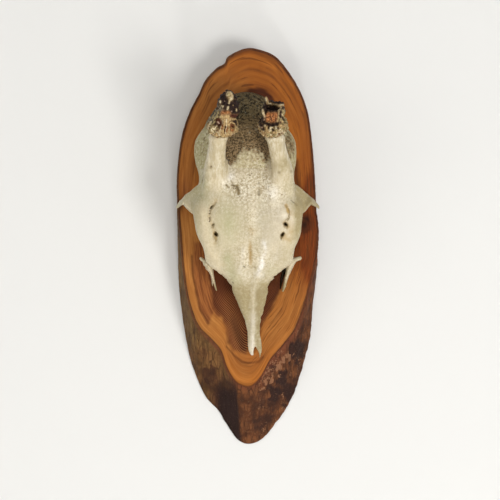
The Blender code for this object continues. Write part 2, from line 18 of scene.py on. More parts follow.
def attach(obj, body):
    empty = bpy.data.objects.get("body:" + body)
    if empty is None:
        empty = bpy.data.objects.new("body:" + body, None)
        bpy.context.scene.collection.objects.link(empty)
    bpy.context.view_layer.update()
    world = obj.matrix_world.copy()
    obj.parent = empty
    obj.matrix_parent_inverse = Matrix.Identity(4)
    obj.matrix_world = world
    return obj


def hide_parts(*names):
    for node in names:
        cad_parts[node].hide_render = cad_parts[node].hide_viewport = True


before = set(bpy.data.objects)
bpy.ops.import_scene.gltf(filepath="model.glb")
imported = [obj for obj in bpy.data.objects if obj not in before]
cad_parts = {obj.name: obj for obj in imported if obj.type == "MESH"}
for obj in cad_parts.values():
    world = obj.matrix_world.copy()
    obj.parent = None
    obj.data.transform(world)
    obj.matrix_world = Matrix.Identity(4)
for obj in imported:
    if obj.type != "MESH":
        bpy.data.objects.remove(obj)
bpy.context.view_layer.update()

MM = 0.001

# -------- sizes of the plaque
PLAQUE_THICK = 18.0
SKULL_GAP = 0.3
LOG_SLANT = 36.0  # how far the log runs down from the front face to the back one
FRONT_OUTLINE = (
    (0.9, 121.9), (8.4, 120.4), (16.7, 116.6), (24.6, 107.5), (31.6, 95.8), (36.3, 83.4), (38.6, 69.5),
    (40.3, 52), (41.2, 34.4), (42, 22), (43.3, 9.8), (42.6, -3), (41, -13.2), (37.6, -27), (33.7, -40.3),
    (28.8, -52), (21.8, -61.2), (13.4, -70.2), (7.6, -80.2), (2.8, -85.4), (-1.6, -86.4), (-7.5, -83.6),
    (-12.4, -76.4), (-17.3, -64.9), (-22.6, -58.6), (-30.4, -51), (-35.2, -41), (-38.8, -27.2), (-41, -11),
    (-42.3, 6), (-43.6, 22), (-44.3, 38), (-43.2, 54.8), (-40.6, 70.1), (-35.9, 83.4), (-30.4, 94),
    (-26.8, 101.8), (-20, 109.2), (-14.9, 112.4), (-12.9, 116.4), (-5.2, 120.6),
)
BACK_OUTLINE = (
    (0.5, 86), (12, 83.6), (24.5, 71), (34.5, 50), (39.6, 30), (42.4, 8), (43, -8), (41.8, -24),
    (39.8, -38.6), (38.2, -56.2), (34, -74.8), (27, -94.6), (18.4, -108.6), (9.4, -119.4), (1, -123.4),
    (-6.6, -120.8), (-14.2, -110.2), (-18.8, -102.6), (-26.6, -94), (-33.2, -79.8), (-37.6, -64.8),
    (-41.2, -44), (-43.4, -24), (-43.8, -4), (-43.6, 12), (-41, 32), (-35, 52), (-24, 72.4), (-11.5, 83.2),
)
PITH = (4.0, -8.6)
BARK_ROUND = 900  # steps around the bark
BARK_DEEP = 64  # steps from its front edge to its back one
BARK_RIM = 0.85  # thickness of the bark seen on the front face, and that at its lower end
BARK_RIM_LOW = 0.4
BARK_THICK = 2.4  # behind the rim
WOOD_ROUND = 600
WOOD_RINGS = 84

# -------- sizes of the skull, along Z
TOP_HEIGHT = (
    (-68, 5.6), (-60, 9.6), (-48, 16.4), (-35, 23.4), (-24, 28.6), (-14, 32.6), (-8, 35.4), (0, 39),
    (10, 42.8), (20, 45.2), (30, 46), (40, 45.2), (50, 43.6), (60, 41.4), (70, 38.4), (78, 35), (85, 29.4),
    (90, 22.4), (92.8, 15.6), (94, 9),
)
HALF_WIDTH = (
    (-68, 3.4), (-62, 4.3), (-52, 4), (-46, 4.8), (-39, 7.2), (-32.5, 9.3), (-27, 11.2), (-24.2, 12),
    (-21.4, 13.8), (-18.6, 15.9), (-15.9, 19.4), (-12, 24.2), (-8, 26.4), (-4.9, 26.7), (-1.2, 27.5),
    (2.3, 29.1), (7.7, 31.2), (13.2, 32.2), (18.6, 33.2), (24, 33.4), (31, 31.2), (39, 29.4), (44, 29.8),
    (50, 31.2), (57, 31.8), (63, 31.2), (68, 28.9), (73.4, 24.9), (78, 22.2), (83.5, 18.6), (88, 14.6),
    (91.5, 10), (94, 3.6),
)
EDGE_HEIGHT = (
    (-68, 4.4), (-60, 7.8), (-48, 13), (-35, 17.6), (-24, 21.4), (-14, 25.2), (-6, 29), (4, 32.4),
    (16, 34.4), (24, 33), (31, 27.6), (38, 21), (48, 17), (70, 15), (86, 11), (94, 5),
)
FOOT_HALF_WIDTH = (
    (-24.2, 9), (-16, 15.6), (-10, 21.4), (-6, 19.6), (1, 14.4), (10, 13), (20, 14.6), (28, 18.4),
    (36, 23.6), (46, 27.6), (57, 28.8), (68, 25.8), (80, 18), (88, 11.6), (94, 2.6),
)
UNDER_HEIGHT = ((-24.2, 19.6), (-19, 18), (-14, 12.4), (-10, 4.4), (-6.5, 0), (94, 0))
MIDLINE_X = ((-68, 4.4), (-40, 2.3), (-20, 0.6), (0, 0.3), (20, -0.4), (40, -1.1), (60, -2), (93, -1.4))
ROOF_POWER = ((-68, 2), (-24, 2), (10, 2.7), (40, 2.8), (60, 2.3), (94, 2))
WALL_POWER = (
    (-24.2, 1), (-12, 0.8), (-7, 1.4), (-2, 3.4), (16, 4.4), (27, 2), (38, 0.62), (50, 0.42), (94, 0.42),
)
FRONTAL_FRONT = -24.2
MIDLINE_START = -20.0  # where the cuts along the midline start
WEDGE_X = (1.4, 11.4)  # how far from the midline the frontals' oblique front edge begins and ends
WEDGE_Z = -12.2  # and how far up it begins
COLUMN_INSIDE = 7.4  # how far from the midline a pedicle's root is cut on its inner side
CORONAL_SUTURE = 46.0
LAMBDOID_SUTURE = 80.0
LAMBDOID_SLOPE = 0.3
TEMPORAL_FOOT = 15.0
TEMPORAL_SLOPE = 1.05
NASAL_BACK = -12.6
NASAL_TIP = {-1: -66.8, 1: -68.4}
NASAL_FORK = -60.8
NASAL_THICK = 2.0
NASAL_HALF_WIDTH = ((-24.2, 10.9), (-20, 8.4), (-16, 5.6), (NASAL_BACK, 2.6))
POSTORBITAL_BAR = (  # half x, rear z, front z, height, thickness
    (22, 37, 18, 37, 7), (28, 38, 17, 33.4, 6.2), (31.6, 36.4, 17.4, 31.6, 5),
    (34.2, 33.4, 19.2, 29.8, 4.2), (36.6, 31.4, 22.2, 27, 3.6), (38.6, 29.6, 24.2, 23.6, 3.2),
    (40.6, 27.8, 23.8, 19.4, 2.8), (42.4, 25.8, 22.8, 15.2, 2.4), (43.6, 24.2, 22.4, 12, 1.6),
)
LACRIMALS = {  # rods of (x, z, height, half width, half depth): the knob and its spike, the inner blade
    -1: (
        (
            (-29.3, -6.9, 19.8, 0.5, 0.7), (-28.7, -7.7, 19.8, 1, 1.4), (-27.2, -8.8, 19.6, 1.1, 2.8),
            (-25.2, -10.6, 19.2, 2.2, 5), (-23.6, -13.2, 18, 2.1, 5.6), (-22.4, -16.2, 16.4, 1.25, 4.4),
            (-21.4, -20.2, 13.6, 0.8, 2.6), (-20.4, -24, 11.2, 0.62, 1.6), (-19.4, -27.4, 9.6, 0.3, 0.6),
        ),
        (
            (-23.4, -13.4, 14.6, 0.9, 2.6), (-22.6, -17.4, 12.6, 0.55, 2), (-22.1, -21.4, 10.8, 0.4, 1.2),
            (-21.9, -24.6, 9.4, 0.22, 0.4),
        ),
    ),
    1: (
        (
            (31.9, -7, 20.4, 0.7, 0.9), (31, -7.4, 20.4, 1.25, 1.6), (28.9, -8, 20.2, 1.3, 2.6),
            (26.6, -9.2, 19.8, 2.3, 4.8), (25, -11.8, 18.6, 2.2, 5.6), (23.8, -16.2, 16.4, 1.5, 4.6),
            (22.6, -20.8, 13.8, 1.1, 2.8), (21.6, -25, 11.4, 0.95, 1.8), (20.8, -27.8, 10.2, 0.45, 0.7),
        ),
        (
            (22.8, -11.6, 15.6, 1.2, 3), (21.3, -15.4, 13, 1.2, 3), (20.4, -20, 10.2, 1, 2.4),
            (19.7, -24.6, 8.2, 0.5, 1.4), (19.4, -26.4, 7.6, 0.25, 0.5),
        ),
    ),
}
# the right lacrimal's inner blade is painted near black beyond this edge, as shadow
BLADE_EDGE = ((-28, 20.2), (-25, 20.7), (-20.8, 21.6), (-16.2, 22.5), (-12, 22.8))  # (z, x), dark beyond it
CAVITY_HALF_WIDTH = ((-32, 6.8), (-24, 6.8), (-16, 11), (-9, 10.5), (-5, 7))
CAVITY_ROOF_THICK = ((-32, 2.4), (-24, 2.6), (-16, 3.6), (-10, 8), (-5, 16))
CAVITY_FLOOR = ((-32, 6), (-20, 6), (-12, 2.6), (-5, 2))
PEDICLES = {  # x, z, height, radius
    -1: (
        (-17.6, 24, 30, 8.4), (-18.3, 33, 36.2, 7.5), (-18.7, 43, 43, 6.3), (-18.6, 54.5, 49.9, 5.3),
        (-17.4, 65.4, 55.4, 5),
    ),
    1: (
        (18.6, 24, 30, 8.4), (19.3, 33, 36.2, 7.5), (19.2, 43, 43, 6.3), (17.7, 54.5, 49.9, 5.1),
        (15, 65.4, 55.4, 5),
    ),
}
COLUMN_FOOT = 32.0  # height at which a pedicle's root is cut behind the frontal
PEDICLE_FLARE = {-1: 2.4, 1: 1.4}  # how much wider each is outwards, at its foot
PEDICLE_BLEND = 7.0  # how far the slope spreads by which they grow out of the roof
RIGHT_BASE_SHIFT = 4.5  # how far the right one's slope turns to the midline on the forehead
SKULL_VOXEL = 0.38
SIDES = {-1: "left", 1: "right"}

# -------- numbers on arrays


def curve(knots):
    """A smooth function through (position, value) knots that never overshoots them."""
    at, value = np.array(sorted(knots), float).T
    rise = np.diff(value) / np.diff(at)
    slope = np.concatenate(([rise[0]], np.zeros(len(rise) - 1), [rise[-1]]))
    same = rise[:-1] * rise[1:] > 0
    slope[1:-1][same] = (2 * rise[:-1] * rise[1:])[same] / (rise[:-1] + rise[1:])[same]

    def read(x):
        x = np.clip(x, at[0], at[-1])
        i = np.clip(np.searchsorted(at, x, side="right") - 1, 0, len(at) - 2)
        span = at[i + 1] - at[i]
        t = (x - at[i]) / span
        return (
            value[i] * (1 + 2 * t) * (1 - t) ** 2
            + slope[i] * span * t * (1 - t) ** 2
            + value[i + 1] * t * t * (3 - 2 * t)
            + slope[i + 1] * span * t * t * (t - 1)
        )

    return read


top_height = curve(TOP_HEIGHT)
half_width = curve(HALF_WIDTH)
edge_height = curve(EDGE_HEIGHT)
foot_half_width = curve(FOOT_HALF_WIDTH)
under_height = curve(UNDER_HEIGHT)
midline_x = curve(MIDLINE_X)
roof_power = curve(ROOF_POWER)
wall_power = curve(WALL_POWER)
nasal_half_width = curve(NASAL_HALF_WIDTH)


def full_turn(count):
    """Angles once round a circle."""
    return np.linspace(0, 2 * np.pi, count, endpoint=False)


def ease(low, high, x):
    """0 below low, 1 above high and smooth in between; the other way round where low is the greater."""
    t = np.clip((np.asarray(x, float) - low) / (high - low), 0.0, 1.0)
    return t * t * (3 - 2 * t)


def lattice_noise(q, seed):
    """Gradient noise, about -1 to 1, at points of a unit lattice."""
    base = np.floor(q).astype(np.int64)
    part = q - base
    fade = part**3 * (part * (part * 6 - 15) + 10)
    total = np.zeros(len(q))
    for corner in itertools.product((0, 1), repeat=3):
        c = base + corner
        h = c[:, 0] * 73856093 ^ c[:, 1] * 19349663 ^ c[:, 2] * 83492791 ^ seed * 2654435761
        h = (h & 0xFFFFFFFF) * 1274126177 & 0xFFFFFFFF
        h = (h ^ h >> 13) * 2246822519 & 0xFFFFFFFF
        h ^= h >> 16
        away = part - corner
        slopes = np.stack([(h >> shift & 1023) / 511.5 - 1 for shift in (0, 10, 20)], 1)
        weight = np.prod(np.where(corner, fade, 1 - fade), 1)
        total += weight * (slopes * away).sum(1)
    return total * 1.5


def rough_field(points, size, seed, octaves=1):
    """Layered noise, about -1 to 1, whose widest bumps are size millimetres across."""
    total, weight = np.zeros(len(points)), 0.0
    for octave in range(octaves):
        gain = 0.5**octave
        total += gain * lattice_noise(points / size * 2**octave, seed + octave)
        weight += gain
    return total / weight


def wander(t, size, seed):
    """Layered noise along one number."""
    t = np.atleast_1d(np.asarray(t, float))
    return rough_field(np.stack([t, np.full_like(t, 0.37), np.full_like(t, seed * 1.7)], 1), size, seed, 2)


def blob(x, z, at_x, at_z, reach, wide=1.0, high=1.0):
    """A soft patch, stretched sideways and upwards: 1 at its middle and near 0 at 1.6 times its reach."""
    return np.exp(-(((x - at_x) / wide) ** 2 + ((z - at_z) / high) ** 2) / reach**2)


def patches(x, z, *spots):
    """Soft patches added up. Each is its strength and then what blob takes."""
    return sum(strength * blob(x, z, *spot) for strength, *spot in spots)


def path_distance(x, z, path):
    """Distance to a polyline of (x, z) points."""
    best = np.full(len(x), 1e9)
    for (ax, az), (bx, bz) in zip(path, path[1:]):
        ux, uz = bx - ax, bz - az
        t = np.clip(((x - ax) * ux + (z - az) * uz) / (ux * ux + uz * uz), 0, 1)
        best = np.minimum(best, np.hypot(x - ax - t * ux, z - az - t * uz))
    return best


def line_mask(x, z, path, width):
    """1 on a polyline and near 0 at its width."""
    return np.exp(-((path_distance(x, z, path) / width) ** 2) * 2)


def strokes(x, z, *lines):
    """Soft lines added up. Each is (strength, path, width)."""
    return sum(strength * line_mask(x, z, path, width) for strength, path, width in lines)


def mark_mask(x, z, path, reach):
    """1 on a mark with a firm edge at its reach. Its points are one flat run of x and z."""
    if len(path) == 2:
        away = np.hypot(x - path[0], z - path[1])
    else:
        away = path_distance(x, z, list(zip(path[::2], path[1::2])))
    return np.exp(-((away / reach) ** 3))


def inside_depth(x, z, corners):
    """How deep each point lies inside a closed polygon, negative outside it."""
    loop = list(corners) + [corners[0]]
    away = path_distance(x, z, loop)
    within = np.zeros(len(x), bool)
    for (ax, az), (bx, bz) in zip(loop, loop[1:]):
        if az == bz:
            continue
        crosses = (az > z) != (bz > z)
        within ^= crosses & (x < (bx - ax) * (z - az) / (bz - az) + ax)
    return np.where(within, away, -away)


def closed_loop(corners, count):
    """count points, evenly spaced, on a smooth closed curve through the corners."""
    p = np.array(corners, float)
    a, b, c, d = (np.roll(p, shift, 0)[:, None] for shift in (1, 0, -1, -2))
    t = np.linspace(0, 1, 24, endpoint=False)[None, :, None]
    fine = 0.5 * (2 * b + (c - a) * t + (2 * a - 5 * b + 4 * c - d) * t**2 + (3 * b - a - 3 * c + d) * t**3)
    fine = fine.reshape(-1, 2)
    fine = np.vstack([fine, fine[:1]])
    length = np.concatenate(([0.0], np.cumsum(np.hypot(*np.diff(fine, axis=0).T))))
    goal = np.arange(count) / count * length[-1]
    return np.stack([np.interp(goal, length, fine[:, k]) for k in (0, 1)], 1)


def inset_loop(loop, depth):
    """The closed loop moved inwards by depth."""
    along = np.roll(loop, -1, 0) - np.roll(loop, 1, 0)
    along /= np.hypot(*along.T)[:, None]
    return loop + np.stack([along[:, 1], -along[:, 0]], 1) * np.reshape(depth, (-1, 1))


def skull_points(x, z, height):
    """Points of the model from x, z and skull heights."""
    return np.stack(np.broadcast_arrays(x, -(PLAQUE_THICK + SKULL_GAP + height), z), -1)


def height_of(points):
    """The skull heights of points."""
    return -points[:, 1] - PLAQUE_THICK - SKULL_GAP


def columns_at(stations, at):
    """Each column of a table of stations as a smooth run, read at station numbers."""
    return [curve(list(enumerate(column)))(at) for column in zip(*stations)]


def square_frame(direction):
    """The directions to the right and to the front of one direction or of a row of them."""
    direction = direction / np.linalg.norm(direction, axis=-1, keepdims=True)
    right = np.cross(direction, (0, -1, 0))
    right /= np.linalg.norm(right, axis=-1, keepdims=True)
    return right, np.cross(right, direction)


# -------- meshes


def ring_faces(stations, around, first=0):
    """Quads between equal rings of points, from the ring that starts at point first."""
    i, j = np.meshgrid(np.arange(stations - 1), np.arange(around), indexing="ij")
    a = first + i * around + j
    b = first + i * around + (j + 1) % around
    return np.stack([a, b, b + around, a + around], -1).reshape(-1, 4).tolist()


def skin_of_rings(rings):
    """Vertices and faces of a closed skin over equal rings of points, with a flat cap on each end."""
    stations, around = rings.shape[:2]
    faces = ring_faces(stations, around)
    faces.append(list(range(around)))
    faces.append([(stations - 1) * around + k for k in reversed(range(around))])
    return rings.reshape(-1, 3), faces


def rod_skin(stations, around, rough, seed):
    """A closed skin round (x, z, height, half width, half depth) stations."""
    share = np.linspace(0, len(stations) - 1, 14 * len(stations))
    x, z, height, wide, deep = columns_at(stations, share)
    along = np.gradient(np.stack([x, z], 1), axis=0)
    along /= np.hypot(*along.T)[:, None]
    angle = full_turn(around)
    size = (1 + rough * wander(share, 0.7, seed))[:, None]
    reach = wide[:, None] * size * np.cos(angle)
    rings_x, rings_z = x[:, None] + along[:, 1:] * reach, z[:, None] - along[:, :1] * reach
    rings_height = height[:, None] + deep[:, None] * size * np.sin(angle)
    return skin_of_rings(skull_points(rings_x, rings_z, rings_height))


def new_object(name, data):
    made = bpy.data.objects.new(name, data)
    bpy.context.collection.objects.link(made)
    return made


def join_skins(skins):
    """Several skins as one list of points and faces."""
    points, faces, first = [], [], 0
    for p, f in skins:
        points.append(p)
        faces += [[k + first for k in face] for face in f]
        first += len(p)
    return np.vstack(points), faces


def make_object(name, points, faces, turn_out=True):
    """A new object from points in millimetres."""
    mesh = bpy.data.meshes.new(name)
    mesh.from_pydata((np.asarray(points) * MM).tolist(), [], faces)
    mesh.update()
    if turn_out:
        bm = bmesh.new()
        bm.from_mesh(mesh)
        bmesh.ops.recalc_face_normals(bm, faces=bm.faces)
        bm.to_mesh(mesh)
        bm.free()
    made = new_object(name, mesh)
    mesh.shade_smooth()
    return made


def read_triples(items, what):
    flat = np.empty(len(items) * 3, np.float32)
    items.foreach_get(what, flat)
    return flat.reshape(-1, 3).astype(float)


def drop(item):
    mesh = item.data
    bpy.data.objects.remove(item, do_unlink=True)
    if mesh.users == 0:
        bpy.data.meshes.remove(mesh)


def settle(item):
    """Replaces the object's mesh by what its modifiers make of it."""
    graph = bpy.context.evaluated_depsgraph_get()
    result = bpy.data.meshes.new_from_object(item.evaluated_get(graph))
    old = item.data
    item.modifiers.clear()
    item.data = result
    if old.users == 0:
        bpy.data.meshes.remove(old)
    return item


def combine(target, tool, operation):
    """Cuts or joins the tool into the target and removes the tool."""
    modifier = target.modifiers.new(operation.title(), "BOOLEAN")
    modifier.operation = operation
    modifier.object = tool
    settle(target)
    drop(tool)


def fuse(item, voxel):
    """One closed skin round all that the object holds."""
    modifier = item.modifiers.new("Fuse", "REMESH")
    modifier.mode = "VOXEL"
    modifier.voxel_size = voxel * MM
    settle(item)
    item.data.shade_smooth()
    return item


def points_of(mesh):
    return read_triples(mesh.vertices, "co") / MM


def set_points(mesh, points):
    mesh.vertices.foreach_set("co", (points * MM).astype(np.float32).ravel())
    mesh.update()


def normals_of(mesh):
    return read_triples(mesh.vertex_normals, "vector")


def skin_of(mesh):
    """A mesh as points in millimetres and faces."""
    return points_of(mesh), [list(face.vertices) for face in mesh.polygons]


def relax(mesh, rounds, weight):
    """Moves each point towards the mean of its neighbours, by its own weight each round."""
    ends = np.empty(len(mesh.edges) * 2, np.int32)
    mesh.edges.foreach_get("vertices", ends)
    near, far = (np.concatenate([ends[k::2], ends[1 - k :: 2]]) for k in (0, 1))
    points = points_of(mesh)
    count = np.bincount(near, minlength=len(points)).clip(1)[:, None]
    weight = np.reshape(weight, (-1, 1))
    for _ in range(rounds):
        total = np.stack([np.bincount(near, points[far, k], len(points)) for k in range(3)], 1)
        points += (total / count - points) * weight
    set_points(mesh, points)


def paint(mesh, **masks):
    """Stores one number for each point under each name, for the materials to read."""
    for name, values in masks.items():
        layer = mesh.attributes.get(name) or mesh.attributes.new(name, "FLOAT", "POINT")
        layer.data.foreach_set("value", np.broadcast_to(values, len(mesh.vertices)).astype(np.float32))


def paint_place(mesh, name, places):
    layer = mesh.attributes.new(name, "FLOAT_VECTOR", "POINT")
    layer.data.foreach_set("vector", places.astype(np.float32).ravel())


def cut_piece(source, name, planes):
    """A closed piece of the mesh: what lies behind every (point, outward normal) plane, its cuts capped."""
    bm = bmesh.new()
    bm.from_mesh(source)
    for point, outward in planes:
        cut = bmesh.ops.bisect_plane(
            bm, geom=bm.verts[:] + bm.edges[:] + bm.faces[:], dist=1e-7,
            plane_co=Vector(point) * MM, plane_no=Vector(outward), clear_outer=True,
        )
        rim = [e for e in cut["geom_cut"] if isinstance(e, bmesh.types.BMEdge)]
        for edge in rim:
            edge.smooth = False
        bmesh.ops.triangle_fill(bm, edges=rim, use_beauty=True, normal=Vector(outward))
    mesh = bpy.data.meshes.new(name)
    bm.to_mesh(mesh)
    bm.free()
    return new_object(name, mesh)


def finish_piece(item, material, slot, *nodes):
    """Gives a piece its material and says what it rides on and replaces. slot, what it is made of, is not
    used.
    """
    item.data.materials.clear()
    item.data.materials.append(material)
    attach(item, "root")
    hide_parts(*nodes)


# -------- material nodes


def node(tree, kind, settings=None, **inputs):
    """A new node. An input is named with _ for a space, and takes a value or another node's socket."""
    made = tree.nodes.new("ShaderNode" + kind)
    for name, value in (settings or {}).items():
        setattr(made, name, value)
    for name, value in inputs.items():
        feed(tree, made.inputs[name.replace("_", " ")], value)
    return made


def feed(tree, socket, value):
    if isinstance(value, bpy.types.NodeSocket):
        tree.links.new(value, socket)
    elif isinstance(value, tuple) and socket.type == "RGBA":
        socket.default_value = (*value, 1.0)
    else:
        socket.default_value = value


def maths(tree, operation, a, b=0.0, c=0.0, clamp=False):
    made = tree.nodes.new("ShaderNodeMath")
    made.operation = operation
    made.use_clamp = clamp
    for socket, value in zip(made.inputs, (a, b, c)):
        feed(tree, socket, value)
    return made.outputs[0]


def mixed(tree, share, under, over):
    """The colour between two colours."""
    made = tree.nodes.new("ShaderNodeMix")
    made.data_type = "RGBA"
    for index, value in ((0, share), (6, under), (7, over)):
        feed(tree, made.inputs[index], value)
    return made.outputs[2]


def layered(tree, colour, *coats):
    """A colour under coats, each over the last: a share or a mask's name, a colour, and what thins it."""
    for share, coat, *strength in coats:
        if isinstance(share, str):
            share = mask(tree, share)
        for number in strength:
            share = times(tree, share, number)
        colour = mixed(tree, share, colour, coat)
    return colour


def times(tree, a, b):
    return maths(tree, "MULTIPLY", a, b)


def times_plus(tree, a, b, c, clamp=False):
    """a times b, and c added."""
    return maths(tree, "MULTIPLY_ADD", a, b, c, clamp)


def span(tree, value, low, high, to_low=0.0, to_high=1.0):
    """A number carried smoothly from one range to another, clamped."""
    made = node(tree, "MapRange", {"interpolation_type": "SMOOTHSTEP"}, Value=value)
    for index, number in ((1, low), (2, high), (3, to_low), (4, to_high)):
        feed(tree, made.inputs[index], number)
    return made.outputs[0]


def mask(tree, name):
    return node(tree, "Attribute", {"attribute_name": name}).outputs["Fac"]


def place(tree, name=None):
    """Object coordinates in metres, or a stored place."""
    if name:
        return node(tree, "Attribute", {"attribute_name": name}).outputs["Vector"]
    return node(tree, "TexCoord").outputs["Object"]


def cloud(tree, where, scale, detail=3.0, roughness=0.55, distortion=0.0, stretch=None):
    """Noise, about 0.2 to 0.8."""
    if stretch:
        where = node(tree, "Mapping", Vector=where, Scale=stretch).outputs[0]
    settings = {"Scale": scale, "Detail": detail, "Roughness": roughness, "Distortion": distortion}
    return node(tree, "TexNoise", Vector=where, **settings).outputs[0]


def shader_group(name, inputs, outputs, build):
    """A node group with named sockets; build gets the tree, its input sockets and its output sockets."""
    tree = bpy.data.node_groups.new(name, "ShaderNodeTree")
    for direction, sockets in (("INPUT", inputs), ("OUTPUT", outputs)):
        for label, kind, value in sockets:
            made = tree.interface.new_socket(label, in_out=direction, socket_type="NodeSocket" + kind)
            if value is not None:
                made.default_value = value
    ins, outs = tree.nodes.new("NodeGroupInput"), tree.nodes.new("NodeGroupOutput")
    build(tree, ins.outputs, outs.inputs)
    return tree


def use_group(tree, group, **inputs):
    made = tree.nodes.new("ShaderNodeGroup")
    made.node_tree = group
    for name, value in inputs.items():
        feed(tree, made.inputs[name.replace("_", " ")], value)
    return made.outputs


def new_material(name):
    material = bpy.data.materials.new(name)
    material.use_nodes = True
    tree = material.node_tree
    return material, tree, tree.nodes["Principled BSDF"]


def set_shader(tree, shader, colour, roughness, gloss, bumps=()):
    """Feeds the shader. bumps are (height socket, strength, distance in mm) from broad to fine."""
    for label, value in (("Base Color", colour), ("Roughness", roughness), ("Specular IOR Level", gloss)):
        feed(tree, shader.inputs[label], value)
    socket = shader.inputs["Normal"]
    for height, strength, distance in reversed(bumps):
        bump = node(tree, "Bump", Height=height, Strength=strength, Distance=distance * MM)
        tree.links.new(bump.outputs[0], socket)
        socket = bump.inputs["Normal"]


# -------- shared effects


def make_speckle_group():
    """Old dirt that settles in specks: the more amount, the more specks, until they close up."""

    def build(tree, ins, outs):
        where = ins["Place"]
        coarse = cloud(tree, where, ins["Scale"], 3.0, 0.65)
        fine = cloud(tree, where, times(tree, ins["Scale"], 2.7), 2.0, 0.6)
        grains = times_plus(tree, fine, 0.5, times(tree, coarse, 0.5))
        level = times_plus(tree, ins["Amount"], -0.46, 0.74)
        feed(tree, outs["Specks"], span(tree, maths(tree, "SUBTRACT", grains, level), -0.015, 0.06))
        feed(tree, outs["Height"], times(tree, grains, ins["Amount"]))

    return shader_group(
        "settled_specks",
        (("Place", "Vector", None), ("Scale", "Float", 900.0), ("Amount", "Float", 0.3)),
        (("Specks", "Float", None), ("Height", "Float", None)),
        build,
    )


def make_pores_group():
    """Fine pores and short fibres of bone, antler or bark, as a mask and a height."""

    def build(tree, ins, outs):
        where = node(tree, "Mapping", Vector=ins["Place"], Scale=ins["Stretch"]).outputs[0]
        fibre = cloud(tree, where, ins["Scale"], 4.0, 0.6, 0.3)
        holes = node(tree, "TexVoronoi", {"feature": "F1"}, Vector=where, Scale=ins["Scale"])
        pores = span(tree, holes.outputs["Distance"], 0.08, 0.3, 1.0, 0.0)
        chosen = span(tree, cloud(tree, where, times(tree, ins["Scale"], 0.35), 1.0), 0.5, 0.62)
        feed(tree, outs["Pores"], times(tree, pores, chosen))
        feed(tree, outs["Fibre"], fibre)

    return shader_group(
        "pores_and_fibres",
        (("Place", "Vector", None), ("Stretch", "Vector", (1.0, 1.0, 1.0)), ("Scale", "Float", 1200.0)),
        (("Pores", "Float", None), ("Fibre", "Float", None)),
        build,
    )


SPECKLES = make_speckle_group()
PORES = make_pores_group()

# -------- materials


def make_bone_material(label, base_light, base_shade, roughness, gloss):
    """Old weathered bone. Its points carry the masks that paint_bone stores."""
    material, tree, shader = new_material(label)
    where = place(tree)
    fleck, streak = mask(tree, "fleck"), mask(tree, "streak")
    broad = cloud(tree, where, 90.0, 3.0, 0.5)
    medium = cloud(tree, where, 420.0, 4.0, 0.6)
    streaks = cloud(tree, place(tree, "along"), 1.0, 4.0, 0.55, 0.4)
    grains = cloud(tree, where, 1400.0, 2.0, 0.6)
    pores = use_group(tree, PORES, Place=where, Scale=1500.0)["Pores"]
    holes = use_group(tree, PORES, Place=where, Scale=500.0)["Pores"]
    grit = cloud(tree, where, 820.0, 2.0, 0.7)
    speckle = times_plus(tree, grains, 0.5, times(tree, grit, 0.5))
    uneven = times_plus(tree, speckle, 0.45, times(tree, medium, 0.75))
    dirt = span(tree, times_plus(tree, mask(tree, "grime"), 0.45, uneven), 0.73, 0.97)
    crumbs = use_group(tree, SPECKLES, Place=where, Scale=900.0, Amount=mask(tree, "crumb"))
    dirt_colour = mixed(tree, span(tree, speckle, 0.44, 0.57), (0.03, 0.012, 0.004), (0.275, 0.17, 0.074))
    slate_colour = mixed(tree, span(tree, uneven, 0.53, 0.66), (0.01, 0.007, 0.003), (0.15, 0.108, 0.05))
    colour = layered(
        tree, mixed(tree, span(tree, broad, 0.38, 0.64), base_shade, base_light),
        (span(tree, medium, 0.46, 0.72), (0.5, 0.4, 0.235), 0.34),
        (span(tree, grains, 0.5, 0.7), (0.44, 0.36, 0.21), 0.25),
        # cream: the bone's own pale colour, and painted highlight where the light glints
        ("cream", (0.74, 0.628, 0.415)),
        # painted highlight: near-white where the light glints
        ("bleach", (0.9, 0.872, 0.83)),
        (span(tree, streaks, 0.46, 0.64), (0.45, 0.345, 0.185), streak, 0.6),
        (span(tree, streaks, 0.5, 0.36), (0.86, 0.8, 0.66), streak, 0.5),
        # sage stain, and painted shade on sides that face left
        ("sage", (0.405, 0.385, 0.2)),
        # grey tone and painted shade
        ("grey", (0.46, 0.395, 0.285)),
        # tawny stain, and painted shade on slopes and on sides that face right
        ("tawny", (0.365, 0.288, 0.138)),
        (pores, (0.28, 0.21, 0.11), 0.28),
        (span(tree, grit, 0.5, 0.37), (0.34, 0.255, 0.13), fleck, 0.95),
        (span(tree, grit, 0.5, 0.64), (0.86, 0.8, 0.64), fleck, 0.85),
        (holes, (0.11, 0.07, 0.03), span(tree, fleck, 0.2, 0.7)),
        # dirt, and painted shade along the frontals' rear rim
        (dirt, dirt_colour, 0.9),
        ("slate", slate_colour),
        (crumbs["Specks"], (0.34, 0.3, 0.2), 0.75),
        ("amber", (0.43, 0.27, 0.078)),
        ("ochre", (0.185, 0.126, 0.036)),
        # painted shade in the holes
        ("pit", (0.006, 0.002, 0.001)),
    )
    rough = times_plus(tree, dirt, 0.25, roughness)
    for stain in ("slate", "grey", "sage", "tawny", "grime"):
        rough = times_plus(tree, mask(tree, stain), 0.25, rough)
    rough = times_plus(tree, span(tree, medium, 0.3, 0.7), 0.12, rough, clamp=True)
    set_shader(tree, shader, colour, rough, gloss, (
        (medium, 0.75, 0.32), (streaks, 0.3, 0.14), (times(tree, grit, fleck), 0.9, 0.22),
        (grains, 0.8, 0.12), (pores, -0.35, 0.06),
    ))
    # the pits hold painted shade, near black, and reflect like a dark metal, so that they stay dark
    feed(tree, shader.inputs["Metallic"], span(tree, mask(tree, "pit"), 0.35, 0.8))
    return material


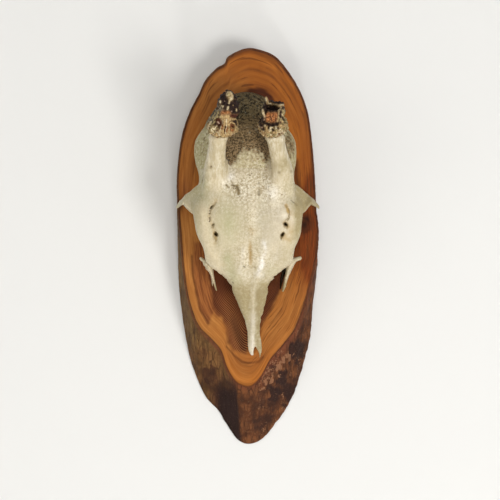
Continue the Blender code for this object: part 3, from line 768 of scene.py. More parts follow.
def make_wood_material():
    """Varnished yew-like wood. Its points carry a place in the grain, its growth rings and painted zones."""
    material, tree, shader = new_material("heartwood")
    grain = place(tree, "grain")
    broad = cloud(tree, grain, 1.0, 3.0, 0.5, 0.6)
    fine = cloud(tree, grain, 4.0, 4.0, 0.6, 0.4)
    fibres = cloud(tree, grain, 13.0, 2.0, 0.6, 0.2)
    flame = span(tree, fine, 0.36, 0.66)
    wobble = times_plus(tree, cloud(tree, grain, 0.7, 2.0), 1.2, times(tree, mask(tree, "growth"), 52.0))
    saw = maths(tree, "FRACT", wobble)
    late = times(tree, span(tree, saw, 0.3, 0.8), span(tree, saw, 1.0, 0.88))
    lines = span(tree, cloud(tree, grain, 2.2, 2.0, 0.5, 0.8), 0.56, 0.68)
    thin_lines = span(tree, cloud(tree, grain, 4.6, 1.0, 0.5, 0.25), 0.585, 0.64)
    colour = layered(
        tree, mixed(tree, span(tree, broad, 0.36, 0.66), (0.262, 0.07, 0.01), (0.44, 0.13, 0.016)),
        ("honey", mixed(tree, span(tree, fine, 0.35, 0.68), (0.37, 0.137, 0.031), (0.508, 0.214, 0.053))),
        # russet wood, and a painted shadow beside the skull's left side
        ("russet", mixed(tree, flame, (0.175, 0.053, 0.016), (0.35, 0.122, 0.033))),
        ("rust", mixed(tree, flame, (0.12, 0.024, 0.005), (0.25, 0.056, 0.011))),
        ("heart", mixed(tree, span(tree, broad, 0.38, 0.62), (0.056, 0.0125, 0.005), (0.1, 0.024, 0.009))),
        ("rings", (0.4, 0.155, 0.048), late),
        ("lines", (0.12, 0.038, 0.01), lines),
        ("lines", (0.115, 0.035, 0.009), 1.7, thin_lines),
        (span(tree, fibres, 0.52, 0.75), (0.15, 0.05, 0.012), 0.22),
        ("ringline", (0.085, 0.024, 0.008)),
        # knots, and painted shadow beside the nose and the skull's right side
        ("knot", (0.026, 0.01, 0.005)),
        ("edge", (0.08, 0.026, 0.012)),
    )
    scratches = cloud(tree, place(tree), 260.0, 2.0, 0.5, 0.0, (1.0, 1.0, 0.12))
    rough = times_plus(tree, scratches, 0.22, 0.34)
    rough = times_plus(tree, mask(tree, "sawn"), 0.3, rough, clamp=True)
    bumps = ((late, 0.1, 0.05), (fibres, 0.12, 0.04), (scratches, 0.12, 0.05))
    set_shader(tree, shader, colour, rough, 0.06, bumps)
    return material


def make_bark_material():
    """Thin scaly bark. Its points carry olive, near-black bark with painted shade in its hollows, red and
    flake.
    """
    material, tree, shader = new_material("bark")
    where, along = place(tree), place(tree, "along")
    patchy = cloud(tree, where, 130.0, 4.0, 0.6)
    fibres = cloud(tree, along, 1.0, 5.0, 0.6, 0.5)
    pale = use_group(tree, SPECKLES, Place=where, Scale=400.0, Amount=mask(tree, "flake"))
    stretched = node(tree, "Mapping", Vector=along, Scale=(1.0, 1.0, 1.6)).outputs[0]
    cracks = node(tree, "TexVoronoi", {"feature": "DISTANCE_TO_EDGE"}, Vector=stretched, Scale=0.9)
    dust = use_group(tree, SPECKLES, Place=where, Scale=900.0, Amount=0.34)
    pores = use_group(tree, PORES, Place=where, Scale=900.0)
    cracked = span(tree, cracks.outputs["Distance"], 0.09, 0.02)
    colour = layered(
        tree, mixed(tree, span(tree, patchy, 0.36, 0.64), (0.06, 0.021, 0.009), (0.185, 0.066, 0.024)),
        ("olive", mixed(tree, span(tree, patchy, 0.35, 0.65), (0.13, 0.07, 0.022), (0.25, 0.143, 0.05))),
        ("red", (0.155, 0.046, 0.02)),
        # near-black bark, and painted shade in its hollows
        ("char", (0.026, 0.012, 0.01)),
        (span(tree, fibres, 0.52, 0.64), (0.03, 0.015, 0.01), 0.42),
        (pale["Specks"], (0.32, 0.15, 0.075), 0.65),
        (cracked, (0.016, 0.008, 0.005), span(tree, patchy, 0.46, 0.58), 0.6),
        (dust["Specks"], (0.19, 0.13, 0.08), 0.28),
    )
    bumps = (
        (patchy, 0.5, 0.6), (fibres, 0.7, 0.35), (pores["Fibre"], 0.5, 0.12), (pale["Height"], 0.5, 0.2),
    )
    set_shader(tree, shader, colour, times_plus(tree, patchy, 0.3, 0.5), 0.1, bumps)
    return material


ANTLER_STAINS = {  # dark and light shade of each stain
    "cream": (
        (0.46, 0.33, 0.165), (0.72, 0.62, 0.41),
    ),
    "tan": (
        (0.32, 0.2, 0.088), (0.56, 0.39, 0.18),
    ),
    "rose": (
        (0.34, 0.2, 0.14), (0.58, 0.43, 0.32),
    ),
    "olive": (
        (0.19, 0.135, 0.048), (0.5, 0.4, 0.2),
    ),
    "ash": (
        (0.075, 0.06, 0.034), (0.3, 0.26, 0.175),
    ),
    "ember": (
        (0.2, 0.06, 0.016), (0.48, 0.2, 0.07),
    ),
    "blood": (
        (0.04, 0.009, 0.006), (0.12, 0.034, 0.016),
    ),
    "crust": (
        (0.008, 0.004, 0.003), (0.026, 0.012, 0.009),
    ),
}


def make_antler_material():
    """Pearled antler. Its points carry how much of each stain lies on the brown ground."""
    material, tree, shader = new_material("antler")
    where = place(tree)
    patchy = cloud(tree, where, 950.0, 3.0, 0.65)
    blend = span(tree, patchy, 0.38, 0.62)
    coats = [(name, mixed(tree, blend, *shades)) for name, shades in ANTLER_STAINS.items()]
    specks = use_group(tree, SPECKLES, Place=where, Scale=1300.0, Amount=0.4)
    coats.append((specks["Specks"], (0.07, 0.038, 0.02), 0.55))
    colour = layered(tree, mixed(tree, blend, (0.075, 0.034, 0.014), (0.26, 0.15, 0.062)), *coats)
    pores = use_group(tree, PORES, Place=where, Scale=1300.0)
    bumps = ((patchy, 0.5, 0.3), (pores["Fibre"], 0.4, 0.1))
    set_shader(tree, shader, colour, times_plus(tree, patchy, 0.4, 0.42), 0.14, bumps)
    return material


# -------- plaque


def face_outline(count):
    """The sawn face's outline with its small nicks; the right side is the most ragged."""
    loop = closed_loop(FRONT_OUTLINE, count)
    t = np.arange(count) / count
    circle = np.stack([np.cos(2 * np.pi * t), np.sin(2 * np.pi * t), np.zeros(count)], 1)
    x, z = loop.T
    ragged = 0.16 + 0.5 * ease(0, 30, x) * ease(36, 18, z) * ease(-40, -20, z)
    ragged = ragged + 0.25 * ease(10, 30, x) * ease(-20, -40, z)
    nicks = rough_field(circle * 100, 5.0, 11, 3) * ragged
    return inset_loop(loop, nicks + 0.12 - 0.7 * ease(-62, -76, z))


def rim_thickness(z):
    """Thickness of the bark's front edge."""
    return BARK_RIM_LOW + (BARK_RIM - BARK_RIM_LOW) * ease(-72, -40, z)


def make_wood():
    """The sawn and varnished face, its side and its back, laid out in rings from the pith."""
    bark_front = face_outline(WOOD_ROUND)
    rim = inset_loop(bark_front, rim_thickness(bark_front[:, 1]))
    back_rim = inset_loop(closed_loop(BACK_OUTLINE, WOOD_ROUND), BARK_THICK)
    shares = np.linspace(0, 1, WOOD_RINGS + 1)[1:]
    pith = np.array(PITH)
    back_pith = pith - (0.0, LOG_SLANT)
    front = pith + (rim - pith) * shares[:, None, None]
    x, z = front.reshape(-1, 2).T
    worn = ease(0.985, 1.0, np.repeat(shares, WOOD_ROUND))
    spots = np.stack([x, z, 0 * x], 1)
    y = -PLAQUE_THICK + (0.1 * rough_field(spots, 30.0, 21, 2) * (1 - worn) + 0.25 * worn)
    back_shares = np.linspace(1, 0, 25)[:-1]
    behind = back_pith + (back_rim - back_pith) * back_shares[:, None, None]
    bx, bz = behind.reshape(-1, 2).T
    points = np.vstack([
        [(pith[0], -PLAQUE_THICK, pith[1])], np.stack([x, y, z], 1),
        np.stack([bx, 0 * bx - 0.02, bz], 1), [(back_pith[0], -0.02, back_pith[1])],
    ])
    faces = ring_faces(WOOD_RINGS + len(back_shares), WOOD_ROUND, 1)
    last = len(points) - 1
    for k in range(WOOD_ROUND):
        after = (k + 1) % WOOD_ROUND
        faces.append([0, 1 + after, 1 + k])
        faces.append([last, last - WOOD_ROUND + k, last - WOOD_ROUND + after])
    item = make_object("wood_slice", points, faces)
    paint_wood(item.data, shares, back_shares)
    item.data.set_sharp_from_angle(angle=math.radians(55))
    return item


RING_LINES = (
    ((-34.8, -6), (-34.2, -18), (-32, -28.8), (-29.5, -39.3), (-24.6, -47.6)),
    ((-13.6, -61.8), (-8.9, -67.3), (-4.1, -71.2), (-0.6, -71.9), (6.5, -71.2), (8.9, -68.2)),
)
HEART_EDGE = (
    (-24, 16), (-26.5, -6), (-25, -18), (-22.6, -28), (-21.8, -38.5), (-16.2, -44.6), (-13.2, -51.7),
    (-12.7, -59.6), (-9.6, -64.2), (-2, -65.6), (3, -61), (6.6, -54), (8.6, -48.8), (12.8, -41),
    (18.2, -30.5), (22.6, -21.8), (27.5, -8), (31, 8), (31, 24), (0, 30),
)
RUSSET_EDGE = (
    (-33.6, 2), (-34.4, -14), (-33.2, -26), (-30.4, -38), (-25.2, -49.6), (-21.6, -41.6), (-19, -43.4),
    (-15.2, -42.6), (-12, -30), (-14, -20), (-22, 4),
)
RING_BAND = ((-13, -33), (-9.5, -44.5), (-6.5, -54), (-3.5, -62.5))
# the dark line on the wood close along the right flank and cheek bar
SHADED_SEAM = ((29.6, 52), (29.4, 41.5), (31, 36.5), (35.4, 31.2), (39.6, 26.4))
TOP_RINGS = (  # how far out from the pith the rings at the top lie, and how strong they are
    (0.903, 0.7), (0.945, 0.35), (0.925, 0.2), (0.866, 0.45), (0.835, 0.25), (0.8, 0.35),
)
BARK_RIDGE = ((-7, -84), (-5.6, -100), (-3.4, -116))
BARK_SCARS = (  # dark bare patches: strength, x, z, reach
    (0.92, 29.9, -64.8, 6.5), (0.92, 20.7, -82, 5), (0.92, 25.6, -90, 5.5), (0.92, 16.3, -92.5, 4.6),
    (0.62, -23.7, -79.6, 5.5),
)


def paint_wood(mesh, shares, back_shares):
    """Where the wood is honey, russet, rust red or dark heart, where its rings, lines and knots show, and
    where shadow beside the skull is painted.
    """
    points = points_of(mesh)
    x, z = points[:, 0], points[:, 2]
    growth = np.concatenate(([0.0], np.repeat(np.concatenate([shares, back_shares]), WOOD_ROUND), [0.0]))
    around = np.arange(WOOD_ROUND) / WOOD_ROUND * 2 * np.pi
    around = np.concatenate(([0.0], np.tile(around, len(shares) + len(back_shares)), [0.0]))
    is_face = points[:, 1] < -PLAQUE_THICK / 2
    flat = np.stack([x, z, 0 * x], 1)
    paint_place(mesh, "grain", np.stack([growth * 11.0, np.cos(around) * 0.8, np.sin(around) * 0.8], 1))
    fuzzy = 1.4 * rough_field(flat, 6.0, 31, 2) + 0.5 * rough_field(flat * (1.0, 0.3, 1.0), 1.6, 33)
    lower = ease(40, -20, z)
    left = ease(6, -14, x)
    right = 1 - left
    honey = 0.18 + 0.42 * left * ease(118, 98, z) + 0.1 * left * ease(60, 20, z)
    honey += 0.85 * lower * left + 0.5 * ease(-2, -34, z) * right
    honey = np.clip(honey, 0, 1) * (1 - 0.46 * ease(-56, -72, z) - patches(x, z, (0.25, -16, -52, 6)))
    heart = ease(-1.6, 1.8, inside_depth(x, z, HEART_EDGE) + fuzzy * 0.8)
    russet = ease(-1.0, 1.2, inside_depth(x, z, RUSSET_EDGE) + fuzzy * 0.7)
    arc = ease(12.0, 10.7, np.hypot((x - 4.4) / 1.06, z - 86.0) + fuzzy * 0.25) * ease(-6, 2, x)
    dusk = patches(x, z, (1, 37, 6, 15, 0.62, 1.7), (0.7, 40, -6, 9, 0.6, 1.8))
    dusk += patches(x, z, (0.85, 39.5, 34, 10, 0.5, 1.3))
    rust = np.clip(dusk * 1.6 + 0.12 * fuzzy, 0, 1) * 0.95
    rust = np.maximum(rust, 0.38 * ease(22, 34, x) * ease(-10, 30, z) * ease(75, 45, z))
    # painted shadow on the wood beside the skull's left side, above its left bar
    russet = np.maximum(russet, patches(x, z, (0.8, -39, 33.5, 6, 0.5, 1.5)))
    russet = np.maximum(russet, patches(x, z, (0.4, 0, -68, 7, 1.5, 0.8)))
    eye = np.hypot((x - 34.8 + 0.9 * fuzzy) / 0.9, (z - 13.0) / 1.35) + 0.9 * fuzzy
    heart = np.maximum(np.maximum(heart, 0.95 * arc), 0.6 * ease(6.5, 2.5, eye))
    knot = 0.5 * np.exp(-(((eye - 3.4) / 0.7) ** 2)) * ease(-0.8, 0.6, fuzzy)
    # painted shadow of the nose on the wood to its left
    knot += 0.4 * line_mask(x, z, RING_BAND, 4.0) * ease(-34, -50, z)
    knot += patches(
        x, z, (0.95, 34.3, 13, 2.3, 0.9, 1.3), (0.9, -42, 25.4, 2.6, 0.7, 1.5),
        (0.5, 36.4, 17, 1.8, 0.8, 1.5), (0.35, 33.4, 9, 1.6),
    )
    # painted shadow on the wood along the skull's right flank and cheek bar
    knot += 0.75 * line_mask(x, z, SHADED_SEAM, 2.3) * (0.8 + 0.3 * fuzzy)
    thin = 0.9 + 0.4 * rough_field(flat, 14.0, 35)
    ringline = 0.75 * np.maximum(*(line_mask(x, z, path, thin) for path in RING_LINES))
    at_top = ease(70, 92, z) * (0.75 + 0.5 * rough_field(flat, 10.0, 37))
    for level, strength in TOP_RINGS:
        ringline = np.maximum(ringline, strength * at_top * np.exp(-(((growth - level) / 0.0045) ** 2)))
    rings = 0.2 * ease(-4, -20, z) + (0.52 + 0.75 * ease(-30, -56, z)) * line_mask(x, z, RING_BAND, 7.5)
    edge = ease(0.983, 0.995, growth) * (0.85 + 0.4 * rough_field(flat, 8.0, 39))
    full_dusk = np.clip(dusk, 0, 1)
    paint(
        mesh,
        growth=growth,
        honey=np.clip(honey, 0, 1) * (1 - 0.75 * full_dusk),
        russet=russet,
        rust=rust,
        heart=heart,
        rings=is_face * heart * np.clip(rings, 0, 1),
        lines=0.16 + 0.22 * ease(70, 95, z) + lower * (0.14 * right - 0.1 * left) + 0.55 * full_dusk,
        ringline=is_face * np.clip(ringline, 0, 1),
        knot=is_face * np.clip(knot, 0, 1),
        edge=np.where(is_face, np.clip(edge, 0, 1), 0.2),
        sawn=np.where(is_face, 0.0, 1.0),
    )


def make_bark():
    """The slanted band of bark round the slice: thin at the face, with ridges along the log."""
    t = np.linspace(0, 1, BARK_DEEP + 1)
    front = face_outline(BARK_ROUND)
    back = closed_loop(BACK_OUTLINE, BARK_ROUND)
    flat = np.stack([back[:, 0], back[:, 1], 0 * back[:, 0]], 1)
    frayed = 0.3 + 0.55 * ease(4, 16, back[:, 0]) * ease(-30, -55, back[:, 1])
    back = inset_loop(back, rough_field(flat, 5.0, 55, 3) * frayed)
    outer = front + (back - front) * t[:, None, None]
    deep = np.broadcast_to(t[:, None], outer.shape[:2])
    outer_y = -PLAQUE_THICK * (1 - deep)
    rim = rim_thickness(front[:, 1])
    thick = rim + (BARK_THICK - rim) * ease(0, 0.3, t)[:, None]
    inner = np.stack([inset_loop(loop, depth + 0.25) for loop, depth in zip(outer, thick)])
    start_x, start_z = np.broadcast_to(front, outer.shape).transpose(2, 0, 1)
    grid = np.stack([start_x, start_z, deep * 5.0], -1).reshape(-1, 3)
    spots = np.stack([outer[..., 0], outer[..., 1], outer_y], -1).reshape(-1, 3)
    x, z = spots[:, 0], spots[:, 1]
    ragged = bark_ragged(x, z)
    ridges = rough_field(grid * (1.0, 1.0, 0.9), 3.2, 41, 3)
    scales = rough_field(spots * (1.0, 0.7, 1.0), 2.6, 43, 3)
    swell = rough_field(spots, 16.0, 45, 2)
    plates = np.floor(2.6 * rough_field(spots * (1.0, 0.55, 1.0), 7.0, 47, 2)) * 0.5
    deep_flat = deep.reshape(-1)
    hold = ease(0.0, 0.06, deep_flat) * ease(1.0, 0.95, deep_flat)
    rise = hold * (0.55 * swell * (0.5 + ragged) + 0.35 * ridges + ragged * (0.75 * scales + 0.55 * plates))
    rise += hold * 0.9 * np.exp(-((path_distance(x, z, BARK_RIDGE) / 1.1) ** 2)) * (x < -3.0)
    rise -= hold * 0.9 * ease(1, -3, x + 6.0 + (z + 100) * -0.08) * ease(-80, -88, z) * ease(-26, -14, x)
    rise = np.maximum(rise, -0.2 * thick.reshape(-1))  # it never opens on the wood
    outward = np.roll(outer, -1, 1) - np.roll(outer, 1, 1)
    outward = np.stack([-outward[..., 1], outward[..., 0]], -1)
    outward /= np.hypot(outward[..., 0], outward[..., 1])[..., None]
    face_on = ease(-45, -75, z).reshape(deep.shape)
    moved = outer + outward * (rise.reshape(deep.shape) * (1 - 0.35 * face_on))[..., None]
    lifted = np.clip(outer_y - rise.reshape(deep.shape) * 0.55 * face_on, -PLAQUE_THICK, 0.0)
    few = np.linspace(BARK_DEEP, 0, 9).astype(int)
    rings = np.concatenate([
        np.stack([moved[..., 0], lifted, moved[..., 1]], -1),
        np.stack([inner[..., 0], outer_y, inner[..., 1]], -1)[few],
    ])
    faces = ring_faces(len(rings), BARK_ROUND)
    last = (len(rings) - 1) * BARK_ROUND
    for k in range(BARK_ROUND):
        after = (k + 1) % BARK_ROUND
        faces.append([last + k, last + after, after, k])
    item = make_object("bark_band", rings.reshape(-1, 3), faces)
    extra = len(few) * BARK_ROUND
    for name, values, inside in bark_masks(x, z, deep_flat, ragged, spots, rise):
        paint(item.data, **{name: np.concatenate([values, np.full(extra, inside)])})
    paint_place(item.data, "along", np.concatenate([grid * (0.35, 0.35, 0.5), np.zeros((extra, 3))]))
    item.data.set_sharp_from_angle(angle=math.radians(60))
    return item


def bark_ragged(x, z):
    """Where the bark flakes: the lower right, and the right side beside the orbit."""
    right = ease(2, 12, x) * (ease(-40, -58, z) + 0.7 * ease(28, 14, z) * ease(-20, -6, z))
    return np.clip(0.25 + right, 0, 1)


def bark_masks(x, z, deep, ragged, spots, rise):
    """(name, values, value on the hidden inside) of each mask."""
    blotch = rough_field(spots, 9.0, 51, 2)
    seam = x + 6.2 - (z + 100.0) * -0.075
    char = ease(1.2, -1.2, seam + blotch * 0.6) * ease(-78, -92, z + blotch * 3) * ease(-27, -17, x)
    char = np.maximum(char, 0.75 * ease(0.1, 0.5, blotch) * ragged * ease(8, 16, x) * ease(-60, -74, z))
    # painted shade where the bark's surface sinks
    char = np.maximum(char, 0.55 * ease(0.1, -0.5, rise))
    frayed_x = x + 4.5 * rough_field(spots, 5.0, 57, 3)
    frayed_z = z + 6.0 * rough_field(spots, 4.0, 59, 3)
    for strength, at_x, at_z, reach in BARK_SCARS:
        near = blob(frayed_x, frayed_z, at_x, at_z, reach, 0.85, 1.2)
        char = np.maximum(char, strength * ease(0.25, 0.55, near))
    char = np.clip(char, 0, 1)
    olive = ease(-4, -14, x) * (0.9 + 0.3 * blotch) * (1 - 0.5 * ease(-52, -68, z)) * (1 - char)
    red = ease(0.1, 0.0, deep) * (0.75 + 0.5 * blotch)
    red += 0.6 * ease(0.3, 0.1, deep) * ease(2, 10, x) * ragged
    flake = ragged * ease(0, 8, x) * (0.4 + 0.55 * blotch) * ease(-44, -56, z) * (1 - 0.6 * char)
    patchy = ease(-0.1, 0.35, rough_field(spots * (1.0, 0.6, 1.0), 3.0, 53, 2))
    flake += 0.8 * patchy * line_mask(x, z, ((10.5, -86.0), (18.5, -77.5), (25.5, -68.0)), 5.5)
    return (
        ("char", char, 0.2), ("olive", np.clip(olive, 0, 1), 0.0), ("red", np.clip(red, 0, 1), 0.0),
        ("flake", np.clip(flake, 0, 0.9), 0.0),
    )


# -------- skull shape


def roof_height(x, z):
    """Height of the skull's upper surface, x to the side of its midline."""
    share = np.minimum(np.abs(x) / half_width(z), 1.0)
    power, edge = roof_power(z), edge_height(z)
    return edge + (top_height(z) - edge) * (1 - share**power) ** (1 / np.minimum(power, 2.0))


def ragged_rim(z, side):
    """How much of the thin front rim has crumbled away at z."""
    bite = np.clip(wander(z, 3.0, 61 + side) + 0.1, 0, 1) * 1.6 + np.abs(wander(z, 1.6, 63 + side)) * 3.4
    return bite * ease(-10.5, -14.0, z)


def make_cranium():
    """The braincase, forehead and orbits' edges down to the skull's foot, all solid."""
    roof_steps, wall_steps = 40, 22
    turn = np.linspace(0, np.pi / 2, roof_steps + 1)
    share = (1 - np.arange(1, wall_steps + 1) / wall_steps) ** 0.8
    stations = np.concatenate([
        np.arange(FRONTAL_FRONT, -10, 0.4), np.arange(-10, 82, 0.9),
        82 + 12 * np.sin(np.pi / 2 * np.linspace(0, 1, 24)),
    ])
    rings = []
    for z in stations:
        half, edge, foot, under = half_width(z), edge_height(z), foot_half_width(z), under_height(z)
        roof_x = half * np.sin(turn)
        side_x = np.concatenate([roof_x, foot + (half - foot) * share ** wall_power(z)])
        side_h = np.concatenate([roof_height(roof_x, z), under + (edge - under) * share])
        both = []
        for side in (1, -1):
            bite = float(ragged_rim(z, side)[0]) if z < -10 else 0.0
            both.append(side_x * (1 - bite / half * ease(0.55, 1.0, side_x / half)))
        x = np.concatenate([both[0], [0.0], -both[1][:0:-1]])
        h = np.concatenate([side_h, [under], side_h[:0:-1]])
        rings.append(skull_points(midline_x(z) + x, z, h))
    return skin_of_rings(np.array(rings))


def make_bar(side):
    """The bar behind an orbit, which stands out sideways to its thin tip."""
    stations = np.linspace(0, len(POSTORBITAL_BAR) - 1, 60)
    x, rear, front, height, thick = columns_at(POSTORBITAL_BAR, stations)
    angle = full_turn(40)
    middle, reach = (rear + front) / 2, (rear - front) / 2
    reach = reach + 0.5 * wander(stations, 1.1, 71 + side) * ease(1.5, 3.0, stations)
    return skin_of_rings(skull_points(
        (midline_x(middle) + side * x)[:, None], middle[:, None] + reach[:, None] * np.cos(angle),
        height[:, None] + thick[:, None] / 2 * np.sin(angle),
    ))


def pedicle_axis(side, share):
    """x, z, height and radius of a pedicle at shares of its length, from its root to its top."""
    return np.stack(columns_at(PEDICLES[side], share * (len(PEDICLES[side]) - 1)), -1)


def make_pedicle(side):
    """The bone column under an antler, ribbed along its length and flared at its foot."""
    share = np.linspace(0, 1.0, 60)
    here = pedicle_axis(side, share)
    ahead = skull_points(*pedicle_axis(side, np.minimum(share + 0.02, 1)).T[:3])
    behind = skull_points(*pedicle_axis(side, np.maximum(share - 0.02, 0)).T[:3])
    right, front = square_frame(ahead - behind)
    angle = full_turn(72)
    rings = []
    for k, s in enumerate(share):
        circle = np.stack([np.cos(angle) * 2, np.sin(angle) * 2, angle * 0 + s * 1.2], 1)
        ribs = rough_field(circle, 1.0, 75 + side, 2)
        flare = PEDICLE_FLARE[side] * ease(0.85, 0.5, s) * np.clip(side * np.cos(angle), 0, 1) ** 1.5
        outward = right[k] * np.cos(angle)[:, None] + front[k] * np.sin(angle)[:, None]
        rings.append(skull_points(*here[k, :3]) + outward * (here[k, 3] + 0.35 * ribs + flare)[:, None])
    return skin_of_rings(np.array(rings))


def make_cavity():
    """The hollow between the orbits that opens under the nasal bones."""
    half, thick, floor = (curve(knots) for knots in (CAVITY_HALF_WIDTH, CAVITY_ROOF_THICK, CAVITY_FLOOR))
    rings = []
    for z in np.linspace(CAVITY_FLOOR[0][0], CAVITY_FLOOR[-1][0], 30):
        x = half(z) * np.linspace(-1, 1, 17)
        arch = skull_points(midline_x(z) + x, z, roof_height(x, z) - thick(z))
        base = skull_points(midline_x(z) + x * 0.9, z, floor(z) + 0 * x)
        rings.append(np.concatenate([arch, base[::-1]]))
    return skin_of_rings(np.array(rings))


def make_nasal(side):
    """One nasal bone: a thin arched plate, pointed at its tip, with a ragged outer edge."""
    tip = NASAL_TIP[side]
    inner_tip, outer_tip, narrowing, raggedness = (2.2, 2.8, 3.5, 1.0) if side > 0 else (1.4, 2.4, 5.0, 0.45)
    across = np.linspace(0, 1, 26)
    edge_round = 1 - ease(0.86, 1.0, across) * 0.45
    rings = []
    for z in np.concatenate([np.linspace(-16.0, -58, 130), np.linspace(-58.2, tip, 30)]):
        outer = min(float(half_width(z)), 10.9) if z < FRONTAL_FRONT else float(nasal_half_width(z))
        jag = np.clip(wander(z, 4.2, 81 + side)[0], 0, 1) * 1.2
        jag += np.clip(wander(z, 1.4, 83 + side)[0], 0, 1) * 0.7
        outer -= jag * float(ease(-24, -27, z) * ease(-60, -52, z)) * raggedness
        inner = -0.3 if z > NASAL_FORK + 0.5 else 0.15
        if z < NASAL_FORK:
            share = (NASAL_FORK - z) / (NASAL_FORK - tip)
            inner += (inner_tip - inner) * min(share * 1.6, 1.0)
            outer += (outer_tip - outer) * share**narrowing
        thin = 1.0 if z > NASAL_FORK else 0.45 + 0.55 * (z - tip) / (NASAL_FORK - tip)
        x = inner + (outer - inner) * across
        high = roof_height(x, z)
        low = np.maximum(high - NASAL_THICK * thin * (1 - 0.35 * across**2) * edge_round, 0.6)
        upper, lower = (skull_points(midline_x(z) + side * x, z, h) for h in (high, low))
        rings.append(np.concatenate([upper, lower[::-1]]))
    return skin_of_rings(np.array(rings))


# marks on the skull: stain, or painted shade in a hole, and how strong it is, half width, depth, then x and
# z of its points
MARKS = (
    ("ochre", 0.45, 0.75, 0.4, -19.5, 25.4, -21, 24, -22, 22.6),
    ("pit", 0.75, 0.42, 0.8, -21.4, 23.6, -22.4, 22.3, -22.9, 20.6), ("pit", 0.8, 0.5, 0.8, -23.1, 19.2),
    ("pit", 0.75, 0.42, 0.8, -23, 16.8, -23.2, 14.7), ("ochre", 0.75, 0.9, 0.7, -21.2, 12.7, -21.5, 11.2),
    ("pit", 0.65, 0.45, 0.4, -20.9, 12.9, -21.6, 12.2), ("amber", 0.4, 1.3, 0.1, -20.2, 7.6, -19.6, 4.4),
    ("pit", 1, 0.8, 3.4, -19.9, 7.3, -19.3, 6.3), ("ochre", 0.5, 0.85, 0.45, -20.7, 5.6, -19.7, 3.2),
    ("amber", 0.9, 1, 0.1, 22.3, 24, 22.9, 22.4, 23.5, 20.2),
    ("ochre", 0.7, 0.55, 0.2, 22.4, 23.8, 22.8, 23),
    ("ochre", 0.8, 0.34, 0.3, 23.7, 22.1, 24.4, 20.1, 24.2, 17.1, 23.4, 15),
    ("ochre", 0.7, 0.4, 0.25, 23.6, 16.2, 22.4, 15.2), ("amber", 0.45, 1.6, 0.2, 21.4, 13.8, 22.9, 11.4),
    ("pit", 1, 0.78, 3.2, 21.7, 13.2, 22.5, 12.2), ("ochre", 0.85, 0.36, 0.5, 23, 11.2, 22.8, 10.4),
    ("ochre", 0.6, 0.3, 0.3, 21.2, 11.6, 21.6, 10.6), ("amber", 0.55, 1.7, 0.1, 20.9, 6.4, 21.2, 4.8),
    ("pit", 1, 0.74, 3.4, 20.7, 7.3, 19.9, 6.3), ("ochre", 0.95, 0.62, 0.9, 20.3, 6.2, 19.6, 4.6),
    ("ochre", 0.55, 0.45, 0.3, 19.7, 5.2, 19.5, 3.6),
    ("ochre", 0.9, 0.55, 0.15, -13.2, 36, -12.2, 35.3, -11.5, 34.4), ("pit", 0.4, 0.34, 0.15, -12.9, 35.9),
    ("ochre", 0.8, 0.36, 0.12, -10.4, 38.6, -9.4, 36.6, -9, 35.8),
    ("ochre", 0.95, 0.62, 0.2, -10, 35.9, -8.4, 35.6, -7, 35.2),
    ("pit", 0.45, 0.34, 0.15, -9.2, 36.2, -8.6, 35.5),
    ("ochre", 0.9, 0.9, 0.25, -7.2, 35.3, -6.2, 33.7, -5.9, 31.8, -6, 30.4),
    ("pit", 0.4, 0.34, 0.15, -6.8, 34.8, -5.6, 32.6), ("ochre", 0.7, 0.3, 0.1, -9.6, 32.4),
    ("ochre", 0.65, 0.34, 0.1, -15, 31.7), ("ochre", 0.6, 0.3, 0.1, -12.2, 38.3),
    ("ochre", 0.55, 0.85, 0.25, 6.2, 33.2, 6.2, 30.6), ("pit", 0.4, 0.4, 0.2, 6.4, 32, 6.2, 30),
    ("ochre", 0.5, 0.28, 0.1, 5.2, 36.9, 6.2, 36.6, 6.2, 34.6), ("pit", 0.6, 0.38, 0.2, 11.8, 34.8),
    ("pit", 0.5, 0.28, 0.15, 10.4, 34), ("ochre", 0.5, 0.25, 0.1, 9, 33.6),
    ("ochre", 0.5, 0.22, 0.1, 11, 36), ("ochre", 0.65, 1, 0.2, -22.3, 46.3),
    ("pit", 0.5, 0.45, 0.2, -22, 46.7), ("ochre", 0.6, 0.85, 0.2, 18.1, 43.3),
    ("ochre", 0.6, 0.85, 0.2, 25.2, 44.2), ("pit", 0.6, 0.22, 0.3, 25.1, 27.1, 27, 25.6, 29, 23.9),
    ("ochre", 0.4, 0.35, 0.1, 21.4, 33, 21.6, 30.6, 21.2, 29.2),
    ("pit", 0.5, 0.36, 0.25, -2.9, -12, -1.8, -13), ("pit", 0.45, 0.34, 0.2, 3.6, -12.6),
    ("ochre", 0.45, 0.4, 0.12, 0.9, 10.4, 1.6, 9.8), ("ochre", 0.45, 0.35, 0.12, 2.6, 8.9),
    ("ochre", 0.4, 0.35, 0.12, 1.9, 7.2, 2.2, 6.4), ("ochre", 0.35, 0.3, 0.1, -0.4, 7),
    ("ochre", 0.4, 0.3, 0.1, 0.4, 5.2), ("ochre", 0.55, 0.3, 0.1, -14.2, 33.4, -13.6, 32.8),
    ("ochre", 0.55, 0.28, 0.1, -16.2, 36.2), ("pit", 0.35, 0.3, 0.1, -14.6, 35.6),
    ("pit", 0.45, 0.35, 0.2, -9.8, -21.6, -9, -22.4), ("ochre", 0.45, 0.3, 0.1, 15.4, 18.4),
)
GROOVE_LEFT = ((-18.8, 27), (-22.5, 21.8), (-23.4, 17), (-21.6, 12.4), (-19.7, 6.7), (-19.9, 2))
GROOVE_RIGHT = ((20.6, 25.4), (24.3, 20.4), (24.1, 16.5), (22.4, 11.6), (20, 7), (19.4, 3))
RIM_LEFT = ((-27.4, 20), (-26.4, 12), (-24.9, 4.5), (-22.6, -3.5), (-19, -11.5))
RIM_RIGHT = ((28, 20), (27, 12), (25.4, 3.5), (22.4, -4.5), (18.6, -12))
RIDGE_RIGHT = ((6.3, -17.5), (8.1, -9.6), (9.4, -3), (9.8, 2))
